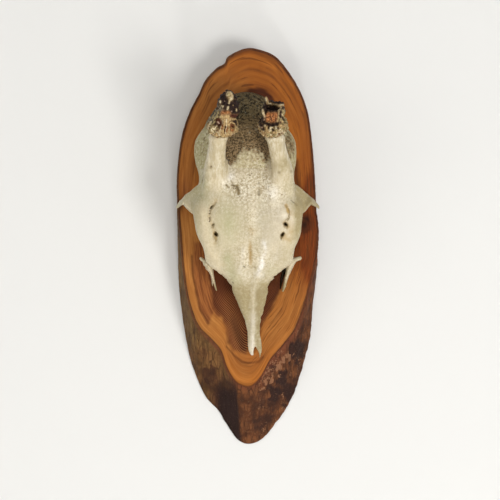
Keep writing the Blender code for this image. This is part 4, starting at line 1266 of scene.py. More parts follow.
RIDGE_LEFT = ((-5.8, -16), (-3.9, -9.6), (-3, -2))
NASAL_RIDGE = ((6.6, -15.5), (5, -20.5), (3.9, -25.5), (3.2, -33), (2.9, -46), (2.3, -57.3), (2.4, -66))
NASAL_SUTURE = (
    (-11.6, -21.4), (-9, -18.6), (-6.3, -15.8), (-2.1, -12.6), (3.9, -12.6), (8.7, -15.2), (11.6, -20.6),
)


def unsteady(points, amount=0.32):
    """(x, z) of the points, shifted a little so that marks drawn on them get irregular edges."""
    shift_x, shift_z = (
        amount * (rough_field(points, 2.4, seed) + 0.7 * rough_field(points, 0.95, seed + 5))
        for seed in (141, 151)
    )
    return points[:, 0] + shift_x, points[:, 2] + shift_z


def furrow(x, z):
    """The dent and stain between the two frontals: 1 in its middle, thin and faint at its ends."""
    middle = 1.1 + 0.45 * wander(z, 3.4, 157) + 0.012 * (-3.7 - z)
    return np.exp(-(((x - middle) / 0.95) ** 2)) * ease(5.5, -2.5, z) * ease(-14.0, -8.5, z)


def pedicle_nearness(points):
    """Signed distance to the nearer pedicle's side, and how far along it, for each point."""
    height = height_of(points)
    best, along = np.full(len(points), 1e9), np.zeros(len(points))
    for side in SIDES:
        shares = np.linspace(0, 1, 26)
        for share, (x, z, h, r) in zip(shares, pedicle_axis(side, shares)):
            away = np.sqrt((points[:, 0] - x) ** 2 + (points[:, 2] - z) ** 2 + (height - h) ** 2) - r
            nearer = away < best
            best, along = np.where(nearer, away, best), np.where(nearer, share, along)
    return best, along


def pedicle_slope(x, z):
    """The roof's height where the pedicles grow out of it in one long slope."""
    high = roof_height(x - midline_x(z), z)
    for side in SIDES:
        columns = list(zip(*PEDICLES[side]))
        axis_x, axis_height, radius = (curve(list(zip(columns[1], columns[k])))(z) for k in (0, 2, 3))
        axis_x = axis_x - RIGHT_BASE_SHIFT * (side > 0) * ease(46, 30, z)
        crown = axis_height + 1.2 * (radius - (x - axis_x) ** 2 / (2 * radius))
        apart = np.abs(high - crown)
        high = np.maximum(high, crown) + PEDICLE_BLEND / 4 * np.clip(1 - apart / PEDICLE_BLEND, 0, 1) ** 2
    return high


def skull_rise(points, normals):
    """How far each point of the skull stands out from the plain shape, in millimetres."""
    x, z = points[:, 0], points[:, 2]
    wx, wz = unsteady(points)
    u = np.abs(x - midline_x(z))
    up = ease(0.1, 0.45, -normals[:, 1])
    open_roof = ease(0.0, 3.0, pedicle_nearness(points)[0])
    rise = 0.3 * rough_field(points, 14.0, 91, 2) + 0.09 * rough_field(points, 3.0, 93, 3)
    rise += ease(60, 80, z) * 0.16 * rough_field(points, 2.2, 95, 2)
    hollows = strokes(x, z, (0.45, GROOVE_LEFT, 2.6), (0.12, GROOVE_RIGHT, 3.4))
    hollows += patches(x, z, (0.3, 15.5, -14, 3.5), (0.35, -11.5, -12, 3.5))
    crests = strokes(x, z, (0.55, RIM_LEFT, 3.4)) + 0.4 * line_mask(x, z, RIM_RIGHT, 4.6) * ease(21, 12, z)
    middle = ((1.2, 22.0), (1.2, 8.0))
    crests += strokes(x, z, (0.75, RIDGE_RIGHT, 5), (0.7, RIDGE_LEFT, 3.6), (0.35, middle, 4))
    for _, _, reach, depth, *path in MARKS:
        hollows += depth * mark_mask(wx, wz, path, reach)
    hollows += 0.12 * line_mask(wx, wz, NASAL_SUTURE, 0.55) + 0.55 * furrow(x, z)
    along_nose = ease(-13, -18, z)
    ridge_away = path_distance(x, z, NASAL_RIDGE)
    crests += 0.55 * np.exp(-((ridge_away / (1.5 + 1.1 * ease(-42, -26, z))) ** 2)) * along_nose
    hollows += 0.4 * np.exp(-(((ridge_away - 3.6) / 2.0) ** 2)) * along_nose * ease(-62, -50, z)
    rise += up * (crests - hollows)
    rise -= 0.8 * ease(20.5, 24.0, u) * ease(33, 42, z) * ease(84, 74, z) * open_roof
    temporal_line = np.exp(-(((u - 21.5) / 1.1) ** 2))
    rise += 0.35 * temporal_line * ease(40, 48, z) * ease(74, 68, z) * open_roof * up
    suture = np.minimum(np.abs(z - CORONAL_SUTURE - 0.8 * wander(x, 2.4, 97)), 9)
    rise -= 0.1 * np.exp(-((suture / 0.45) ** 2)) * open_roof * up
    crest = z - (LAMBDOID_SUTURE - LAMBDOID_SLOPE * (-points[:, 1] - PLAQUE_THICK))
    return rise + 0.7 * np.exp(-((crest / 1.8) ** 2))


def shape_skull(parts, name, with_pedicles):
    """Parts of the skull as one skin, smoothed where they meet and with its relief on it."""
    item = make_object(name, *join_skins(parts))
    fuse(item, SKULL_VOXEL)
    mesh = item.data
    relax(mesh, 4, 0.35)
    points, normals = points_of(mesh), normals_of(mesh)
    x, z = points[:, 0], points[:, 2]
    height = height_of(points)
    u = x - midline_x(z)
    weight = sum(blob(np.abs(u), z, 30.5, end, 4.5) for end in (18.0, 27.0, 36.0))
    weight += patches(x, z, (0.7, -27.6, 39, 2.6, 1, 1.5))
    if with_pedicles:
        share = ease(13, 22, z) * ease(49, 38, z) * ease(0.1, 0.5, -normals[:, 1]) * ease(18, 26, height)
        points[:, 1] -= share * np.clip(pedicle_slope(x, z) - height, 0, None)
        set_points(mesh, points)
        near, _ = pedicle_nearness(points)
        roof_away = height - roof_height(u, z)
        weight = np.maximum(weight, np.exp(-(near**2 + roof_away**2) / 20.0) * ease(22, 30, z))
    relax(mesh, 100, 0.6 * np.clip(weight, 0, 1) * ease(12, 16, height))
    points, normals = points_of(mesh), normals_of(mesh)
    rise = skull_rise(points, normals)
    if with_pedicles:  # it goes in under the braincase
        near, _ = pedicle_nearness(points)
        rise -= 0.5 * ease(2.5, 5.0, near) * ease(CORONAL_SUTURE, CORONAL_SUTURE + 0.8, points[:, 2])
    set_points(mesh, points + normals * rise[:, None])
    relax(mesh, 1, 0.2)
    points = points_of(mesh)
    points[:, 1] -= np.clip(-height_of(points), 0, None)
    set_points(mesh, points)
    return item


def facing_away(plane):
    """The same plane with its other side outwards."""
    point, outward = plane
    return point, tuple(-c for c in outward)


def upright(x, z, toward_x, toward_z):
    """A plane that runs square to the wall through (x, z), facing (toward_x, toward_z)."""
    return (x, 0.0, z), (toward_x, 0.0, toward_z)


def make_skull(bone, braincase):
    """Every bone of the skull but the lacrimals, cut apart along the sutures."""
    cranium = make_object("cranium", *make_cranium())
    combine(cranium, make_object("cavity", *make_cavity()), "DIFFERENCE")
    plain = skin_of(cranium.data)
    drop(cranium)
    bars, columns, nasals = ([make(side) for side in SIDES] for make in (make_bar, make_pedicle, make_nasal))
    fused = shape_skull([plain, *bars, *columns, *nasals], "fused_skull", True)
    behind = shape_skull([plain, *bars], "bare_skull", False)

    rear_mid, front_mid, tip_mid = (midline_x(z) for z in (CORONAL_SUTURE, MIDLINE_START, -60.0))
    lean = (rear_mid - front_mid) / (CORONAL_SUTURE - MIDLINE_START)
    nasal_lean = (front_mid - tip_mid) / 40.0
    before_coronal = ((0, 0, CORONAL_SUTURE), (0, 0, 1))
    past_coronal = facing_away(before_coronal)
    flare = WEDGE_X[1] - WEDGE_X[0]
    run = WEDGE_Z - FRONTAL_FRONT
    pieces = {}
    for side, label in SIDES.items():
        middle = upright(front_mid, MIDLINE_START, -side, side * lean)
        wedge = upright(front_mid + side * WEDGE_X[0], WEDGE_Z, -side * run, -flare)
        body = cut_piece(fused.data, "skull_frontal_" + label, (before_coronal, middle, wedge))
        column = cut_piece(fused.data, "column", (
            past_coronal, upright(rear_mid + side * COLUMN_INSIDE, 50.0, -side, 0.0),
            ((0, -(PLAQUE_THICK + SKULL_GAP + COLUMN_FOOT), CORONAL_SUTURE), (0, 1.0, 0.95)),
        ))
        whole = bmesh.new()
        whole.from_mesh(body.data)
        whole.from_mesh(column.data)
        whole.to_mesh(body.data)
        whole.free()
        drop(column)
        pieces["frontal_" + label] = body
        nasal_middle = upright(front_mid, MIDLINE_START, -side, side * nasal_lean)
        pieces["nasal_" + label] = cut_piece(
            fused.data, "skull_nasal_" + label, (nasal_middle, facing_away(wedge))
        )
    before_lambdoid = ((0, -PLAQUE_THICK, LAMBDOID_SUTURE), (0, -LAMBDOID_SLOPE, 1.0))
    middle_60 = float(midline_x(60.0))
    between_temporals = [
        (
            (middle_60 + side * TEMPORAL_FOOT, -(PLAQUE_THICK + SKULL_GAP), 60.0),
            (side * 1.0, TEMPORAL_SLOPE, 0.0),
        )
        for side in SIDES
    ]
    pieces["parietal_bone"] = cut_piece(
        behind.data, "skull_parietal", (past_coronal, before_lambdoid, *between_temporals)
    )
    for label, plane in zip(SIDES.values(), between_temporals):
        pieces["temporal_" + label] = cut_piece(
            behind.data, "skull_temporal_" + label, (past_coronal, before_lambdoid, facing_away(plane))
        )
    pieces["occipital_bone"] = cut_piece(behind.data, "skull_occipital", (facing_away(before_lambdoid),))
    drop(fused)
    drop(behind)
    for key, item in pieces.items():
        paint_bone(item.data)
        rear = key.split("_")[0] in ("parietal", "temporal", "occipital")
        nodes = [key, key.replace("frontal", "pedicle")] if key.startswith("frontal") else [key]
        finish_piece(item, braincase if rear else bone, "braincase_bone" if rear else "bone", *nodes)


def paint_bone(mesh):
    """Where the bone is stained, dirty, green or streaked, and where highlight and shade are painted on it.
    """
    points, normals = points_of(mesh), normals_of(mesh)
    x, z = points[:, 0], points[:, 2]
    wx, wz = unsteady(points)
    height = height_of(points)
    u = x - midline_x(z)
    aside = np.abs(u)
    to_right = ease(-5, 5, x)
    right_of_nose = ease(2.4, 4.6, x)
    up = ease(0.05, 0.4, -normals[:, 1])
    soft = rough_field(points, 9.0, 101, 3)
    fine = rough_field(points, 3.2, 103, 2)
    near, along = pedicle_nearness(points)
    on_pedicle = ease(2.6, 0.4, near) * ease(0.3, 0.5, along)
    off_pedicle = 1 - on_pedicle
    fossa = ease(19.0, 23.5, aside + soft) * ease(27, 41, z + 2 * soft)
    between = ease(17, 12, aside) * ease(36, 54, z + 5 * soft)
    ridge_away = path_distance(x, z, NASAL_RIDGE)
    stain = {name: np.zeros(len(points)) for name in ("amber", "ochre", "pit")}
    for name, strength, reach, _, *path in MARKS:
        stain[name] = np.maximum(stain[name], strength * mark_mask(wx, wz, path, reach))

    grime = between * (0.46 + 0.48 * ease(47, 70, z + 5 * soft + 4 * fine) + 0.55 * fine)
    # painted shade: a darker band round the frontals' rear rim, which turns up to the light
    ring = ease(5.5, 10.5, np.hypot(x - 1.0, z - 50.0)) * ease(46, 52, z) * (0.9 + 0.6 * fine)
    grime += 0.36 * between * ring * (1 - patches(x, z, (0.9, -0.5, 70.5, 3.2, 1.4, 0.9)))
    grime += patches(x, z, (0.62, -11, 57, 5.2, 0.8, 1.7))
    grime += patches(x, z, (0.3, 11.5, 58, 4.6, 0.8, 1.9)) * (0.8 + fine)
    grime -= patches(x, z, (0.12, 0.5, 71.5, 3.2, 1.2, 0.8))
    grime -= patches(x, z, (0.24, 0.2, 51.5, 6.8, 1.2, 1)) * (0.75 + 1.2 * fine)
    grime += fossa * (0.3 * ease(44, 60, z + 3 * soft) + patches(x, z, (0.4, 25, 60, 5, 0.8, 1.5)) + 0.12)
    grime -= patches(x, z, (0.34, 2.5, 67.5, 3.4, 1.5, 0.8), (0.25, 4.5, 75.8, 3, 1.2, 0.9))
    slate = ease(67.0, 78.0, z + 4 * soft + 1.5 * fine) * ease(1.45, 0.8, aside / 24.0 + 0.2 * soft)
    slate = np.maximum(slate, 0.4 * ease(58, 70, z) * between * (0.7 + fine))
    slate *= 1 - patches(x, z, (0.6, 2.5, 67.5, 3.4, 1.5, 0.8), (0.45, 4.5, 75.8, 3, 1.2, 0.9))
    ochre = stain["ochre"] + 0.3 * line_mask(wx, wz, NASAL_SUTURE, 0.7) * (0.5 + soft)
    ochre += (0.06 + 0.22 * right_of_nose) * ease(-20, -28, z) * (1 + fine)
    ochre += 0.4 * furrow(x, z) ** 4
    under = ease(0.15, -0.35, -normals[:, 1])
    amber = stain["amber"] + strokes(x, z, (0.3, GROOVE_LEFT, 1.6))
    amber += 0.45 * line_mask(x, z, ((25.2, 19.5), (25.3, 11.8), (24.0, 3.4)), 2.4) * (0.8 + fine)
    amber += 0.95 * furrow(x, z) * (0.85 + 0.5 * fine)
    amber += patches(x, z, (0.3, 2, 9, 2.6, 0.9, 1.2)) * (0.7 + 1.2 * fine)
    sage = patches(x, z, (0.75, -12, 14, 7, 0.9, 1.8), (0.35, 9.5, 16, 6, 0.8, 1.6), (0.3, 15, -16, 4))
    sage += strokes(x, z, (0.65, ((-12.2, -7.6), (-10.4, -14.4), (-7.5, -21.7)), 4.6))
    sage += 0.52 * fossa + (0.14 + 0.2 * to_right) * ease(26, 31, aside) * ease(44, 10, z)
    sage += 0.4 * ease(20, 25, -u + soft) * ease(20, 28, z) * ease(44, 36, z)
    # painted shade on the sides that face left
    sage += 0.24 * ease(0.5, 0.9, -normals[:, 0]) * ease(6, 14, height)
    # tawny stain with painted shade: darker on the nose's sloping sides, the cheek bars, the strips beside
    # the orbits and the sides that face right
    tawny = 0.85 * ease(1.2, 3.8, ridge_away + 0.6 * fine) * ease(-19, -27, z)
    tawny *= 1 - (0.72 - 0.45 * right_of_nose) * ease(-38, -50, z)
    tawny *= 0.72 + 0.66 * right_of_nose + 0.34 * ease(-44, -34, z)
    tawny += ease(-18, -26, z) * (0.22 * ease(-58, -50, z) + 0.3 * right_of_nose * ease(-46, -36, z))
    tawny += (0.3 + 0.68 * to_right) * ease(27, 31, aside) * ease(4, 12, z) * ease(44, 34, z)
    tawny += strokes(x, z, (0.3, RIM_RIGHT, 5)) * (0.8 + fine)
    tawny += ease(0, 8, u) * (
        strokes(x, z, (0.45, ((28.0, 24.0), (30.0, 14.0), (28.5, 4.0)), 3.4))
        + 0.35 * ease(28, 32, u) * ease(10, 16, z) + patches(x, z, (0.35, 24.6, 46, 3.4))
    )
    tawny += (0.12 + 0.28 * to_right) * fossa * ease(56, 46, z)
    # painted shade on the sides that face right
    tawny += 0.26 * ease(0.55, 0.9, normals[:, 0]) * ease(8, 16, height)
    tawny += patches(x, z, (0.25, 16, 41, 4), (0.2, -28.6, 27, 3.2, 0.7, 1.6), (0.22, -27, 18, 4, 0.8, 1.4))
    tawny += 0.35 * ease(30, 34, u) * ease(10, 18, z)
    # painted shade at the foot of the pedicles, where the right one meets the braincase's side
    low_pedicle = patches(
        x, z, (0.72, 21, 47.5, 3.4, 0.7, 1.5), (0.24, -18, 56, 5, 0.7, 1.7), (0.42, 19.6, 49, 5, 0.9, 1.9)
    )
    # grey tone and painted shade: darker over the forehead's right side and the spot beside the right
    # groove, where the light falls strongest
    grey = patches(
        x, z, (0.85, 11.5, 17, 7.5, 0.9, 1.6), (0.35, 13, 3, 5.5), (0.35, -2, 30, 7, 1.3, 1),
        (0.95, 20.4, 18.5, 3.8, 0.8, 1.6), (0.45, 14.5, 41, 5.5), (0.35, 18, -7, 5),
    )
    # cream on the pedicles, rims and middle band, and painted highlight on the forehead's right, the right
    # frontal ridge and the nose's crest
    cream = 0.25 * on_pedicle + patches(x, z, (0.35, 15, 31, 7), (0.25, 0.9, 36.5, 4.5))
    cream += strokes(x, z, (0.6, RIM_LEFT, 4.6), (0.3, RIM_RIGHT, 4.2), (0.12, RIDGE_RIGHT, 3))
    cream += 0.2 * ease(1.6, 0.8, ridge_away) * ease(-14, -18, z)
    cream += strokes(x, z, (0.25, ((1.4, 24.0), (1.4, 10.0)), 3.2))
    fleck = 0.16 + patches(x, z, (0.75, 1, 35, 14, 1.25, 0.85), (0.35, 13, 31, 7))
    fleck += patches(x, z, (0.55, 2.5, -9, 7.5, 1.4, 1.1))
    fleck += strokes(x, z, (0.3, ((1.2, 26.0), (1.2, 6.0)), 5))
    fleck += 0.04 * ease(-16, -22, z) + 0.35 * between + 0.4 * fossa
    fleck *= (1 - 0.75 * on_pedicle) * (1 - patches(x, z, (0.7, -20.5, 44, 6.5)))
    # painted highlight: near-white on the ridges and the forehead's right where the light glints, and
    # painted light on the left bar
    bleach = 0.85 * line_mask(x, z, RIDGE_RIGHT, 2.7) * (0.8 + fine) + strokes(x, z, (0.22, RIDGE_LEFT, 1.8))
    bleach += patches(
        x, z, (0.52, 13.6, 31.8, 3.8, 1, 1.4), (0.35, -34, 27.5, 4, 1.2, 0.9),
        (0.78, -12.2, 41.5, 3.6, 1.2, 1),
    )
    bleach += (0.02 + 0.44 * ease(-36, -44, z)) * ease(2.2, 0.4, ridge_away) * ease(-13, -18, z)
    paint(
        mesh,
        grime=np.clip(grime * off_pedicle * np.maximum(up, ease(18, 24, height)), 0, 1),
        slate=np.clip(slate * off_pedicle, 0, 0.96),
        crumb=np.clip(0.16 + slate * 0.24, 0, 1) * off_pedicle,
        amber=np.clip(amber * up, 0, 0.9),
        ochre=np.clip(ochre * up + 0.25 * under * ease(2, 0, height), 0, 0.95),
        pit=np.clip(stain["pit"] * up, 0, 1),
        sage=np.clip(sage * off_pedicle * (0.85 + 0.5 * soft), 0, 0.9),
        cream=np.clip(cream * (0.85 + 0.6 * soft), 0, 1),
        tawny=np.clip((tawny * off_pedicle + low_pedicle) * (0.9 + 0.7 * fine), 0, 0.95),
        streak=np.clip(on_pedicle * (0.5 + 0.45 * to_right * ease(50, 58, z)) + 0.22, 0, 1),
        grey=np.clip(grey * (0.8 + soft), 0, 0.9),
        fleck=np.clip(fleck * (0.85 + 0.8 * soft), 0.04, 0.95),
        bleach=np.clip(bleach * off_pedicle * (0.8 + 0.8 * fine), 0, 0.8),
    )
    paint_place(mesh, "along", np.stack([x * 0.9, z * 0.09, height * 0.5], 1))


# -------- lacrimal bones


def make_lacrimal(side, material):
    """What is left of the lacrimal bone: a knob on the orbit's rim that runs out into two thin spikes."""
    rods = [rod_skin(rod, 28, 0.14, 111 + side + k) for k, rod in enumerate(LACRIMALS[side])]
    item = make_object("skull_lacrimal_" + SIDES[side], *join_skins(rods))
    fuse(item, 0.22)
    relax(item.data, 2, 0.4)
    points, normals = points_of(item.data), normals_of(item.data)
    rise = 0.22 * rough_field(points, 2.4, 113, 2) + 0.08 * rough_field(points, 0.9, 115)
    set_points(item.data, points + normals * rise[:, None])
    paint_bone(item.data)
    # painted shadow: the right one's inner blade is near black beyond BLADE_EDGE, beside the blade
    if side > 0:
        points = points_of(item.data)
        x, z = points[:, 0], points[:, 2]
        paint(item.data, pit=0.95 * ease(0.15, -0.35, x - curve(BLADE_EDGE)(z)) * ease(-11.0, -13.5, z))
    finish_piece(item, material, "bone", "lacrimal_" + SIDES[side])


# -------- antlers


def scatter_tree():
    """Geometry nodes that strew pearls over a surface, each a small round body set on it."""
    tree = bpy.data.node_groups.new("strewn_pearls", "GeometryNodeTree")
    tree.interface.new_socket("Geometry", in_out="OUTPUT", socket_type="NodeSocketGeometry")
    tree.interface.new_socket("Geometry", in_out="INPUT", socket_type="NodeSocketGeometry")
    for label, kind, value in (
        ("Spacing", "Float", 0.0012), ("Density", "Float", 400000.0), ("Where", "Float", 1.0),
        ("Smallest", "Float", 0.0006), ("Largest", "Float", 0.0012), ("Stretch", "Vector", (1.0, 1.0, 1.0)),
        ("Seed", "Int", 1), ("Material", "Material", None),
    ):
        made = tree.interface.new_socket(label, in_out="INPUT", socket_type="NodeSocket" + kind)
        if value is not None:
            made.default_value = value
    new = tree.nodes.new
    ins, outs = new("NodeGroupInput").outputs, new("NodeGroupOutput").inputs
    strewn = new("GeometryNodeDistributePointsOnFaces")
    strewn.distribute_method = "POISSON"
    pearl = new("GeometryNodeMeshIcoSphere")
    pearl.inputs["Radius"].default_value = 1.0
    pearl.inputs["Subdivisions"].default_value = 2
    size = new("FunctionNodeRandomValue")
    size.data_type = "FLOAT"
    scale = new("ShaderNodeVectorMath")
    scale.operation = "SCALE"
    copies = new("GeometryNodeInstanceOnPoints")
    real = new("GeometryNodeRealizeInstances")
    finish = new("GeometryNodeSetMaterial")
    for source, target in (
        (ins["Geometry"], strewn.inputs["Mesh"]), (ins["Spacing"], strewn.inputs["Distance Min"]),
        (ins["Density"], strewn.inputs["Density Max"]), (ins["Where"], strewn.inputs["Density Factor"]),
        (ins["Seed"], strewn.inputs["Seed"]), (ins["Smallest"], size.inputs[2]),
        (ins["Largest"], size.inputs[3]), (ins["Seed"], size.inputs["Seed"]),
        (ins["Stretch"], scale.inputs[0]), (size.outputs[1], scale.inputs["Scale"]),
        (strewn.outputs["Points"], copies.inputs["Points"]),
        (pearl.outputs["Mesh"], copies.inputs["Instance"]),
        (strewn.outputs["Rotation"], copies.inputs["Rotation"]), (scale.outputs[0], copies.inputs["Scale"]),
        (copies.outputs[0], real.inputs[0]), (real.outputs[0], finish.inputs["Geometry"]),
        (ins["Material"], finish.inputs["Material"]), (finish.outputs[0], outs["Geometry"]),
    ):
        tree.links.new(source, target)
    return tree


PEARL_TREE = scatter_tree()
PEARL_CORNERS = 42  # of each pearl's mesh


def strew(item, name, material, where, **sizes):
    """Pearls over an object's surface, as a skin and the centre of each pearl."""
    copy = new_object(name, item.data.copy())
    paint(copy.data, strewn=where)
    modifier = copy.modifiers.new(name, "NODES")
    modifier.node_group = PEARL_TREE
    ids = {s.name: s.identifier for s in PEARL_TREE.interface.items_tree if s.in_out == "INPUT"}
    modifier[ids["Where"] + "_use_attribute"] = True
    modifier[ids["Where"] + "_attribute_name"] = "strewn"
    modifier[ids["Material"]] = material
    for label, value in sizes.items():
        modifier[ids[label]] = value
    settle(copy)
    skin = skin_of(copy.data)
    drop(copy)
    return skin, skin[0].reshape(-1, PEARL_CORNERS, 3).mean(1)


ANTLERS = {  # x, z, height, radius, lobe depth, from the coronet's underside; the right one turns back down
    -1: (
        (-17.2, 65.9, 55.9, 5.2, 0.1), (-16.4, 67.5, 57.6, 7.2, 0.5), (-15.2, 69.4, 59.6, 8.3, 0.9),
        (-14.4, 71.4, 61.4, 7.9, 1), (-13.6, 73.8, 63.2, 6.5, 0.7), (-12.8, 76.8, 65.2, 5.9, 0.5),
        (-12.2, 79.8, 67.2, 5.9, 0.8), (-11.6, 82.8, 69, 5.2, 0.9), (-11, 85.8, 70.6, 3.9, 0.6),
        (-10.7, 88.2, 71.6, 2.4, 0.3), (-10.6, 89.4, 72, 0.9, 0.1),
    ),
    1: (
        (14.9, 65.9, 55.9, 5.2, 0.1), (14.6, 67.4, 57.2, 7, 0.5), (14.6, 69.2, 59, 8, 0.9),
        (14.5, 71.2, 60.6, 7.6, 1), (14.4, 73.4, 62.2, 6.3, 0.7), (14.4, 75.8, 63.9, 5.9, 0.5),
        (14.5, 78.4, 65.6, 6.1, 0.8), (14.6, 80.4, 67, 5.9, 0.8), (14.6, 81.2, 67.6, 4.8, 0.5),
        (14.5, 78.8, 66, 4.2, 0.3), (14.4, 76, 64.2, 3, 0.1), (14.4, 74.8, 63.4, 1.4, 0),
    ),
}
ANTLER_LOBES = {-1: 11, 1: 13}
STUB_AXIS = {-1: (0.2, 0.8, 0.57), 1: (0.02, 0.81, 0.58)}  # (x, z, height) along each stub
CORONET_STATIONS = 4  # of each antler's first stations
ANTLER_RODS = {  # what stands out from the stubs, as rods like those
    -1: (
        (
            (-16.4, 79, 68.6, 1.2, 2.6), (-15.6, 82.4, 70, 2.2, 3), (-14.6, 85.2, 70.8, 2, 2.4),
            (-14, 87, 71.4, 1.1, 1.4),
        ),
        (
            (-8.2, 83.4, 70.6, 1, 1.6), (-7.5, 81, 69.4, 1.6, 2.4), (-7, 77.6, 67.4, 1.5, 2.4),
            (-7.6, 75, 65.8, 0.8, 1.2),
        ),
        (
            (-10.7, 82.2, 73.4, 0.9, 1.2), (-10.8, 84.4, 73.6, 1.7, 1.4), (-10.7, 86.8, 73.8, 2, 1.4),
            (-10.5, 89, 73.8, 1.1, 0.9),
        ),
    ),
    1: (
        (
            (11, 81.2, 64.6, 0.9, 1.4), (10.9, 83.4, 65.6, 0.8, 1.2), (10.7, 85.2, 66.4, 0.85, 1),
            (9.8, 86.3, 66.8, 0.7, 0.8),
        ),
        ((17.4, 80.2, 67.6, 1, 1.6), (18.9, 80.7, 67.4, 1.15, 1.5), (20.5, 81.5, 67.2, 0.9, 1.1)),
        (
            (11.2, 82.6, 63.6, 0.8, 1.2), (13.4, 83.2, 63.4, 0.9, 1.2), (15.6, 82.6, 63.8, 0.8, 1.2),
            (17.6, 81.2, 65, 0.9, 1.3),
        ),
        ((8.6, 79.6, 69.4, 0.8, 1.2), (8.5, 77.2, 70.4, 0.9, 1.4), (9.2, 74.2, 69.8, 0.8, 1.2)),
    ),
}
RING_POINTS = sum(((-9.4 + 2.0 * math.sin(k * 0.7), 68.6 + 2.9 * math.cos(k * 0.7)) for k in range(10)), ())
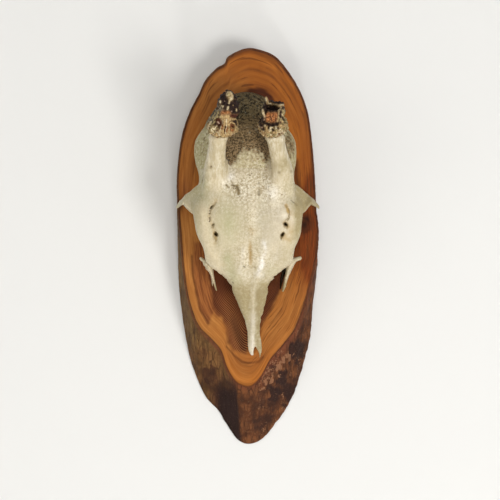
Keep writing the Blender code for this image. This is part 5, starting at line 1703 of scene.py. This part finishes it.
ANTLER_MARKS = {  # what the front shows: stain, half width, how far it stands out, then its points' x and z
    -1: (
        ("crust", 2.6, 0, -15.6, 85.6, -15.4, 81), ("crust", 2.2, 0, -8.2, 82.6, -7.6, 77.4),
        ("ash", 2.9, 0.2, -21.6, 73.8, -19.4, 77.4, -17.4, 79), ("olive", 0.5, 0.5, -21, 74, -19.2, 77.6),
        ("olive", 0.5, 0.4, -19.2, 73.6, -17.2, 77.6), ("crust", 0.8, 0, -17.8, 79.6),
        ("olive", 0.5, 0.3, -22.6, 75.2), ("tan", 3.2, 0.2, -13.6, 73, -13.4, 65.6),
        ("ember", 1.7, 0.2, -14.4, 76.4, -11.6, 76.3), ("tan", 2.4, 0.4, -14.9, 73.9, -11.2, 74),
        ("cream", 0.55, 0.5, -14.6, 72.4, -15.4, 70.2, -16.4, 66.2),
        ("tan", 0.5, 0.5, -13.6, 72, -14.2, 69.4, -14.6, 65.4),
        ("cream", 0.5, 0.6, -12.7, 73, -12.9, 69, -13.2, 65),
        ("tan", 0.45, 0.5, -11.8, 72, -11.8, 69.4, -12.2, 66.4),
        ("ember", 0.35, -0.5, -15, 70, -15.6, 67.4), ("blood", 0.35, -0.5, -13.5, 69.2, -13.8, 66.2),
        ("ember", 0.32, -0.5, -12.3, 68.4, -12.5, 66), ("tan", 0.55, 0.4, *RING_POINTS),
        ("ember", 1.05, -1.2, -9.5, 69.8, -9.4, 67.4), ("blood", 0.5, -0.4, -9.6, 70, -9.2, 69.2),
        ("olive", 0.6, 0.3, -9.3, 68.2), ("blood", 1.7, -1.2, -17.4, 72.6, -16.6, 71),
        ("rose", 0.5, 0.3, -17.8, 71.8, -17, 71.2),
        ("olive", 0.45, 0.5, -20.2, 72.6, -19.4, 74.3, -17.6, 74.9, -15.9, 74.4),
        ("olive", 0.55, 0.5, -19.4, 72, -21.3, 69.9, -23, 66.8),
        ("cream", 0.5, 0.5, -21.6, 72, -23.2, 69.8), ("cream", 0.5, 0.5, -18.4, 69.6, -20.2, 67.4),
        ("blood", 1.15, -0.9, -9.7, 75.2, -6.1, 75.3), ("tan", 0.5, 0.5, -9.2, 73.3, -7, 73.6, -4.9, 72.9),
        ("cream", 0.75, 0.8, -16.3, 83.4, -16, 82.8), ("cream", 0.6, 0.6, -15, 80.8, -14.7, 80.2),
        ("cream", 0.75, 0.7, -11.7, 79.9, -12, 78.8), ("cream", 0.6, 0.6, -6.9, 78.9, -6.9, 78.2),
        ("tan", 0.35, 0.3, -8.8, 81.1), ("rose", 0.3, 0.3, -13.6, 83.4), ("rose", 0.35, 0.3, -9.6, 77.6),
        ("tan", 1.8, 0.4, -11.2, 87.8, -10.4, 85), ("cream", 0.7, 0.2, -11.6, 88.4, -12.2, 86.6),
        ("cream", 0.6, 0.2, -10.2, 88.4, -9.2, 86.4, -9.6, 84.8),
        ("olive", 0.8, -0.3, -11.3, 87.4, -11.1, 86.2), ("cream", 0.8, 0.1, -10.4, 85, -10, 84.2),
        ("cream", 0.65, 0.4, -10.8, 83.8, -11.2, 82.2),
    ),
    1: (
        ("crust", 0.9, 0, 13.2, 84.9, 16.6, 83.6, 18.9, 83),
        ("tan", 1, 0.4, 10.2, 85.6, 10.9, 84.2, 11.4, 82.8), ("cream", 0.6, 0.2, 10, 85.2, 10.8, 83.4),
        ("tan", 0.78, 0.5, 11.2, 83, 13.6, 82.2, 15.4, 82, 17.2, 81.2),
        ("cream", 0.4, 0.2, 11.6, 82.9, 13.4, 82.4), ("cream", 0.46, 0.2, 15.2, 82.1, 17.2, 81.4),
        ("tan", 0.9, 0.4, 17.2, 80.9, 19, 81.7, 20.5, 81.7), ("cream", 0.5, 0.2, 18, 81.4, 20.2, 81.9),
        ("cream", 0.6, 0.3, 18.9, 79.9, 17.4, 78.2), ("olive", 0.35, -0.3, 12.6, 83.2),
        ("olive", 0.3, -0.3, 16.2, 81.9), ("tan", 0.4, -0.4, 18.8, 80.4),
        ("crust", 2.1, -0.5, 11.2, 79.6, 15.4, 79.4), ("crust", 1.5, -0.3, 7.2, 79.6, 6.7, 72.8),
        ("cream", 1, 0.6, 8, 78.4, 8.4, 77, 9.6, 74.8), ("rose", 0.5, 0.4, 9.2, 73.2),
        ("ember", 1.9, 0.1, 11.6, 75.6, 15.6, 75.4), ("ember", 2.2, 0.3, 11.8, 73, 14.8, 73.4),
        ("blood", 0.26, -0.4, 12.4, 74.8, 13.2, 74, 12.8, 73.2),
        ("blood", 0.26, -0.4, 14.6, 75.6, 14, 74.6), ("blood", 0.3, -0.5, 13, 73.6, 13.4, 72.4),
        ("blood", 0.3, -0.5, 15.6, 74.2, 16, 72.6), ("blood", 0.4, -0.4, 10.8, 74.2),
        ("tan", 0.5, 0.4, 11.8, 71.6), ("tan", 0.6, 0.4, 17.6, 77.4, 17.6, 74.4, 16.8, 71.8),
        ("olive", 2.4, -0.2, 20, 76.8, 20.2, 69.4), ("crust", 0.7, -0.6, 18.8, 77.6, 18.6, 74.6),
        ("crust", 0.55, -0.6, 19.8, 74.6, 20.6, 73.2), ("blood", 0.6, -0.7, 18.6, 71.6),
        ("crust", 0.45, -0.6, 21.4, 71.4), ("cream", 0.6, 0.5, 19.6, 76.2), ("tan", 0.5, 0.5, 21.6, 74.6),
        ("tan", 0.5, 0.5, 19.4, 72.6, 20.2, 71.8), ("tan", 0.5, 0.4, 22, 70.4),
        ("crust", 0.9, -0.7, 10.4, 70.8, 13, 69.8, 16.4, 70.6), ("crust", 1.1, -0.6, 7, 70.6, 8.8, 67.6),
        ("crust", 0.7, -0.6, 11.8, 68.4, 14.4, 67), ("crust", 0.6, -0.6, 17.2, 68.4),
        ("cream", 0.7, 0.8, 9.7, 69.8), ("rose", 0.7, 0.7, 7.7, 68.9),
        ("cream", 0.8, 0.8, 13, 68.6, 12.8, 67.6), ("cream", 0.72, 0.9, 15.6, 69.2, 16.2, 67.9),
        ("tan", 0.6, 0.6, 7.8, 66.6), ("tan", 0.85, 0.7, 10.5, 68, 10.2, 65.6),
        ("olive", 0.7, 0.5, 13.3, 65.4), ("tan", 0.65, 0.5, 15.9, 65.6),
        ("tan", 1.1, 0.5, 18.2, 69.6, 20.6, 69.6), ("cream", 0.7, 0.6, 18.4, 67.4, 19.4, 66.6),
        ("olive", 0.6, 0.5, 21.2, 67.8),
    ),
}


def antler_ways(side):
    """Directions of the pedicle's top and of the stub."""
    below, top = (np.array(station[:3]) for station in PEDICLES[side][-2:])
    both = []
    for x, z, height in (top - below, STUB_AXIS[side]):
        both.append(np.array((x, -height, z)) / math.sqrt(x * x + z * z + height * height))
    return both


def make_antler_core(side):
    """A stub from the coronet's underside to its tip, lobed all round."""
    stations = ANTLERS[side]
    steps = np.linspace(0, len(stations) - 1, 110)
    pedicle_way, stub_way = antler_ways(side)
    angle = full_turn(120)
    rings = []
    for step, x, z, height, radius, lobe in zip(steps, *columns_at(stations, steps)):
        bend = min(step / (CORONET_STATIONS - 1), 1.0)
        right, front = square_frame(pedicle_way + (stub_way - pedicle_way) * bend)
        reach = radius + lobe * 0.6 * np.sin(ANTLER_LOBES[side] * angle + 0.7 * step)
        reach += lobe * 0.4 * np.sin(3 * angle + 1.4 * step)
        outward = right * np.cos(angle)[:, None] + front * np.sin(angle)[:, None]
        rings.append(skull_points(x, z, height) + outward * reach[:, None])
    return skin_of_rings(np.array(rings))


def antler_place(points, side):
    """How far up the antler each point is, in millimetres from its base, and how much it faces the front."""
    _, stub_way = antler_ways(side)
    _, front = square_frame(stub_way)
    stations = np.array(ANTLERS[side])
    axis = skull_points(*stations[:, :3].T)
    nearest = np.argmin(((points[:, None] - axis) ** 2).sum(2), 1)
    return (points - axis[0]) @ stub_way, (points - axis[nearest]) @ front


def nearest_centre(points, centres):
    """Distance to the nearest centre, and that centre's number."""
    tree = KDTree(len(centres))
    for k, centre in enumerate(centres):
        tree.insert(centre, k)
    tree.balance()
    found = [tree.find(p)[1:] for p in points]
    return np.array([away for _, away in found]), np.array([k for k, _ in found])


def make_antler(side, material):
    """A stub: its lobed core, pearls and lumps strewn on it and rods, in one skin with the marks on it."""
    core = make_object("core", *make_antler_core(side))
    up, facing = antler_place(points_of(core.data), side)
    coronet = ease(0.4, 1.6, up) * ease(10.5, 8.0, up)
    upper = ease(8.0, 11.0, up) * ease(2.0, -1.0, facing)
    pearls, pearl_centres = strew(
        core, "pearls", material, coronet, Spacing=0.00108, Density=1400000.0,
        Smallest=0.00055, Largest=0.00105, Stretch=(0.9, 0.9, 1.25), Seed=3 + side,
    )
    lumps, lump_centres = strew(
        core, "lumps", material, upper, Spacing=0.0017, Density=500000.0,
        Smallest=0.0006, Largest=0.0014, Stretch=(1.0, 1.0, 1.0), Seed=11 + side,
    )
    rods = [rod_skin(rod, 20, 0.22, 119 + k) for k, rod in enumerate(ANTLER_RODS[side])]
    plain = skin_of(core.data)
    drop(core)
    item = make_object("antler_stub_" + SIDES[side], *join_skins([plain, pearls, lumps, *rods]))
    fuse(item, 0.25)
    relax(item.data, 2, 0.3)
    points, normals = points_of(item.data), normals_of(item.data)
    wx, wz = unsteady(points, 0.26)
    seen = ease(-0.1, 0.35, -normals[:, 1])
    for _, reach, out, *path in ANTLER_MARKS[side]:
        points[:, 1] -= seen * out * mark_mask(wx, wz, path, reach)
    points += normals * (0.2 * rough_field(points, 1.6, 121 + side, 2))[:, None]
    set_points(item.data, points)
    fuse(item, 0.24)
    relax(item.data, 1, 0.3)
    paint_antler(item.data, side, pearl_centres, lump_centres)
    finish_piece(item, material, "antler", "antler_" + SIDES[side])


def paint_antler(mesh, side, pearls, lumps):
    """Stains of the antler: its pearls and crust all round, then the marks that its front shows."""
    points, normals = points_of(mesh), normals_of(mesh)
    up, facing = antler_place(points, side)
    soft = rough_field(points, 3.0, 131 + side, 2)
    away, which = nearest_centre(points, pearls)
    on_pearl = ease(1.45, 0.75, away)
    coronet = ease(10.0, 8.2, up + soft)
    upper = 1 - coronet
    kind = which * 7919 % 10
    away, which = nearest_centre(points, lumps)
    beads = ease(1.2, 0.8, away) * (which * 7919 % 17 == 0)
    masks = {name: np.zeros(len(points)) for name in ANTLER_STAINS}

    def cover(name, amount):
        for other in masks:
            masks[other] = masks[other] * (1 - amount)
        masks[name] = masks[name] + amount

    cover("crust", upper * ease(0.5, 0.1, np.abs(soft) - 0.3))
    cover("ash", upper * 0.7 * ease(0.15, 0.4, soft) * ease(1.0, -3.0, facing))
    cover("cream", upper * beads)
    for name, lowest in (("cream", 0), ("tan", 3), ("olive", 6)):
        cover(name, coronet * on_pearl * ((kind >= lowest) & (kind < lowest + 3)))
    cover("blood", coronet * (1 - on_pearl) * (0.3 if side < 0 else 0.6))
    wx, wz = unsteady(points, 0.26)
    seen = ease(-0.25, 0.15, -normals[:, 1])
    for name, reach, _, *path in ANTLER_MARKS[side]:
        cover(name, seen * mark_mask(wx, wz, path, reach))
    paint(mesh, **masks)


# -------- stage, lights and camera


def make_stage():
    """The wall and the floor. From behind and for shadows they are not there."""
    material, tree, shader = new_material("pale_wall")
    spots = cloud(tree, place(tree), 5.0, 2.0, 0.5)
    set_shader(tree, shader, mixed(tree, spots, (0.805, 0.803, 0.788), (0.83, 0.828, 0.813)), 0.9, 0.1)
    clear = node(tree, "BsdfTransparent")
    both = node(tree, "MixShader")
    from_behind = node(tree, "NewGeometry").outputs["Backfacing"]
    unseen = maths(tree, "MAXIMUM", from_behind, node(tree, "LightPath").outputs["Is Shadow Ray"])
    for socket, source in zip(both.inputs, (unseen, shader.outputs[0], clear.outputs[0])):
        tree.links.new(source, socket)
    tree.links.new(both.outputs[0], tree.nodes["Material Output"].inputs["Surface"])
    for name, corners in (
        ("pale_wall", ((-4000, 1.2, -900), (4000, 1.2, -900), (4000, 1.2, 3000), (-4000, 1.2, 3000))),
        ("pale_floor", ((-4000, -5000, -900), (4000, -5000, -900), (4000, 1.2, -900), (-4000, 1.2, -900))),
    ):
        item = make_object(name, np.array(corners, float), [[0, 1, 2, 3]], turn_out=False)
        item.data.materials.append(material)


def make_light(name, size, watts, colour, at):
    data = bpy.data.lights.new(name, "AREA")
    data.shape = "DISK"
    data.size = size
    data.energy = watts
    data.color = colour
    made = new_object(name, data)
    made.location = at
    made.rotation_mode = "QUATERNION"
    made.rotation_quaternion = (Vector((0.0, -0.02, 0.0)) - made.location).to_track_quat("-Z", "Y")


def make_camera():
    data = bpy.data.cameras.new("front_camera")
    data.sensor_width = 36.0
    data.lens = 138.4
    data.clip_start, data.clip_end = 0.05, 20.0
    made = new_object("front_camera", data)
    made.location = (0.0009225, -1.2, -0.00246)
    made.rotation_euler = (math.pi / 2, 0.0, 0.0)
    bpy.context.scene.camera = made


def make_lights():
    world = bpy.data.worlds.new("soft_room")
    world.use_nodes = True
    background = world.node_tree.nodes["Background"]
    background.inputs["Color"].default_value = (0.985, 0.99, 1.0, 1.0)
    background.inputs["Strength"].default_value = 0.34
    bpy.context.scene.world = world
    make_light("window", 0.7, 18.2, (1.0, 0.985, 0.96), (1.05, -1.7, -0.6))
    make_light("room_lamp", 1.0, 9.2, (1.0, 0.99, 0.97), (0.1, -2.2, 0.35))
    make_light("left_fill", 1.2, 6.2, (1.0, 0.95, 0.86), (-1.6, -1.4, -0.1))
    make_light("low_lamp", 0.14, 2.4, (1.0, 0.99, 0.97), (0.2, -0.85, -1.05))
    make_light("back_fill", 0.8, 3.0, (1.0, 0.99, 0.97), (-0.5, 1.2, 0.5))
    bpy.context.scene.view_settings.view_transform = "Standard"


def main():
    make_camera()
    make_lights()
    make_stage()
    bone = make_bone_material("weathered_bone", (0.635, 0.545, 0.375), (0.54, 0.465, 0.31), 0.2, 0.5)
    braincase = make_bone_material("braincase_bone", (0.625, 0.545, 0.345), (0.52, 0.455, 0.275), 0.42, 0.14)
    antler = make_antler_material()
    finish_piece(make_wood(), make_wood_material(), "heartwood", "plaque_core")
    finish_piece(make_bark(), make_bark_material(), "bark", "plaque_bark")
    make_skull(bone, braincase)
    for side in SIDES:
        make_lacrimal(side, bone)
        make_antler(side, antler)


main()
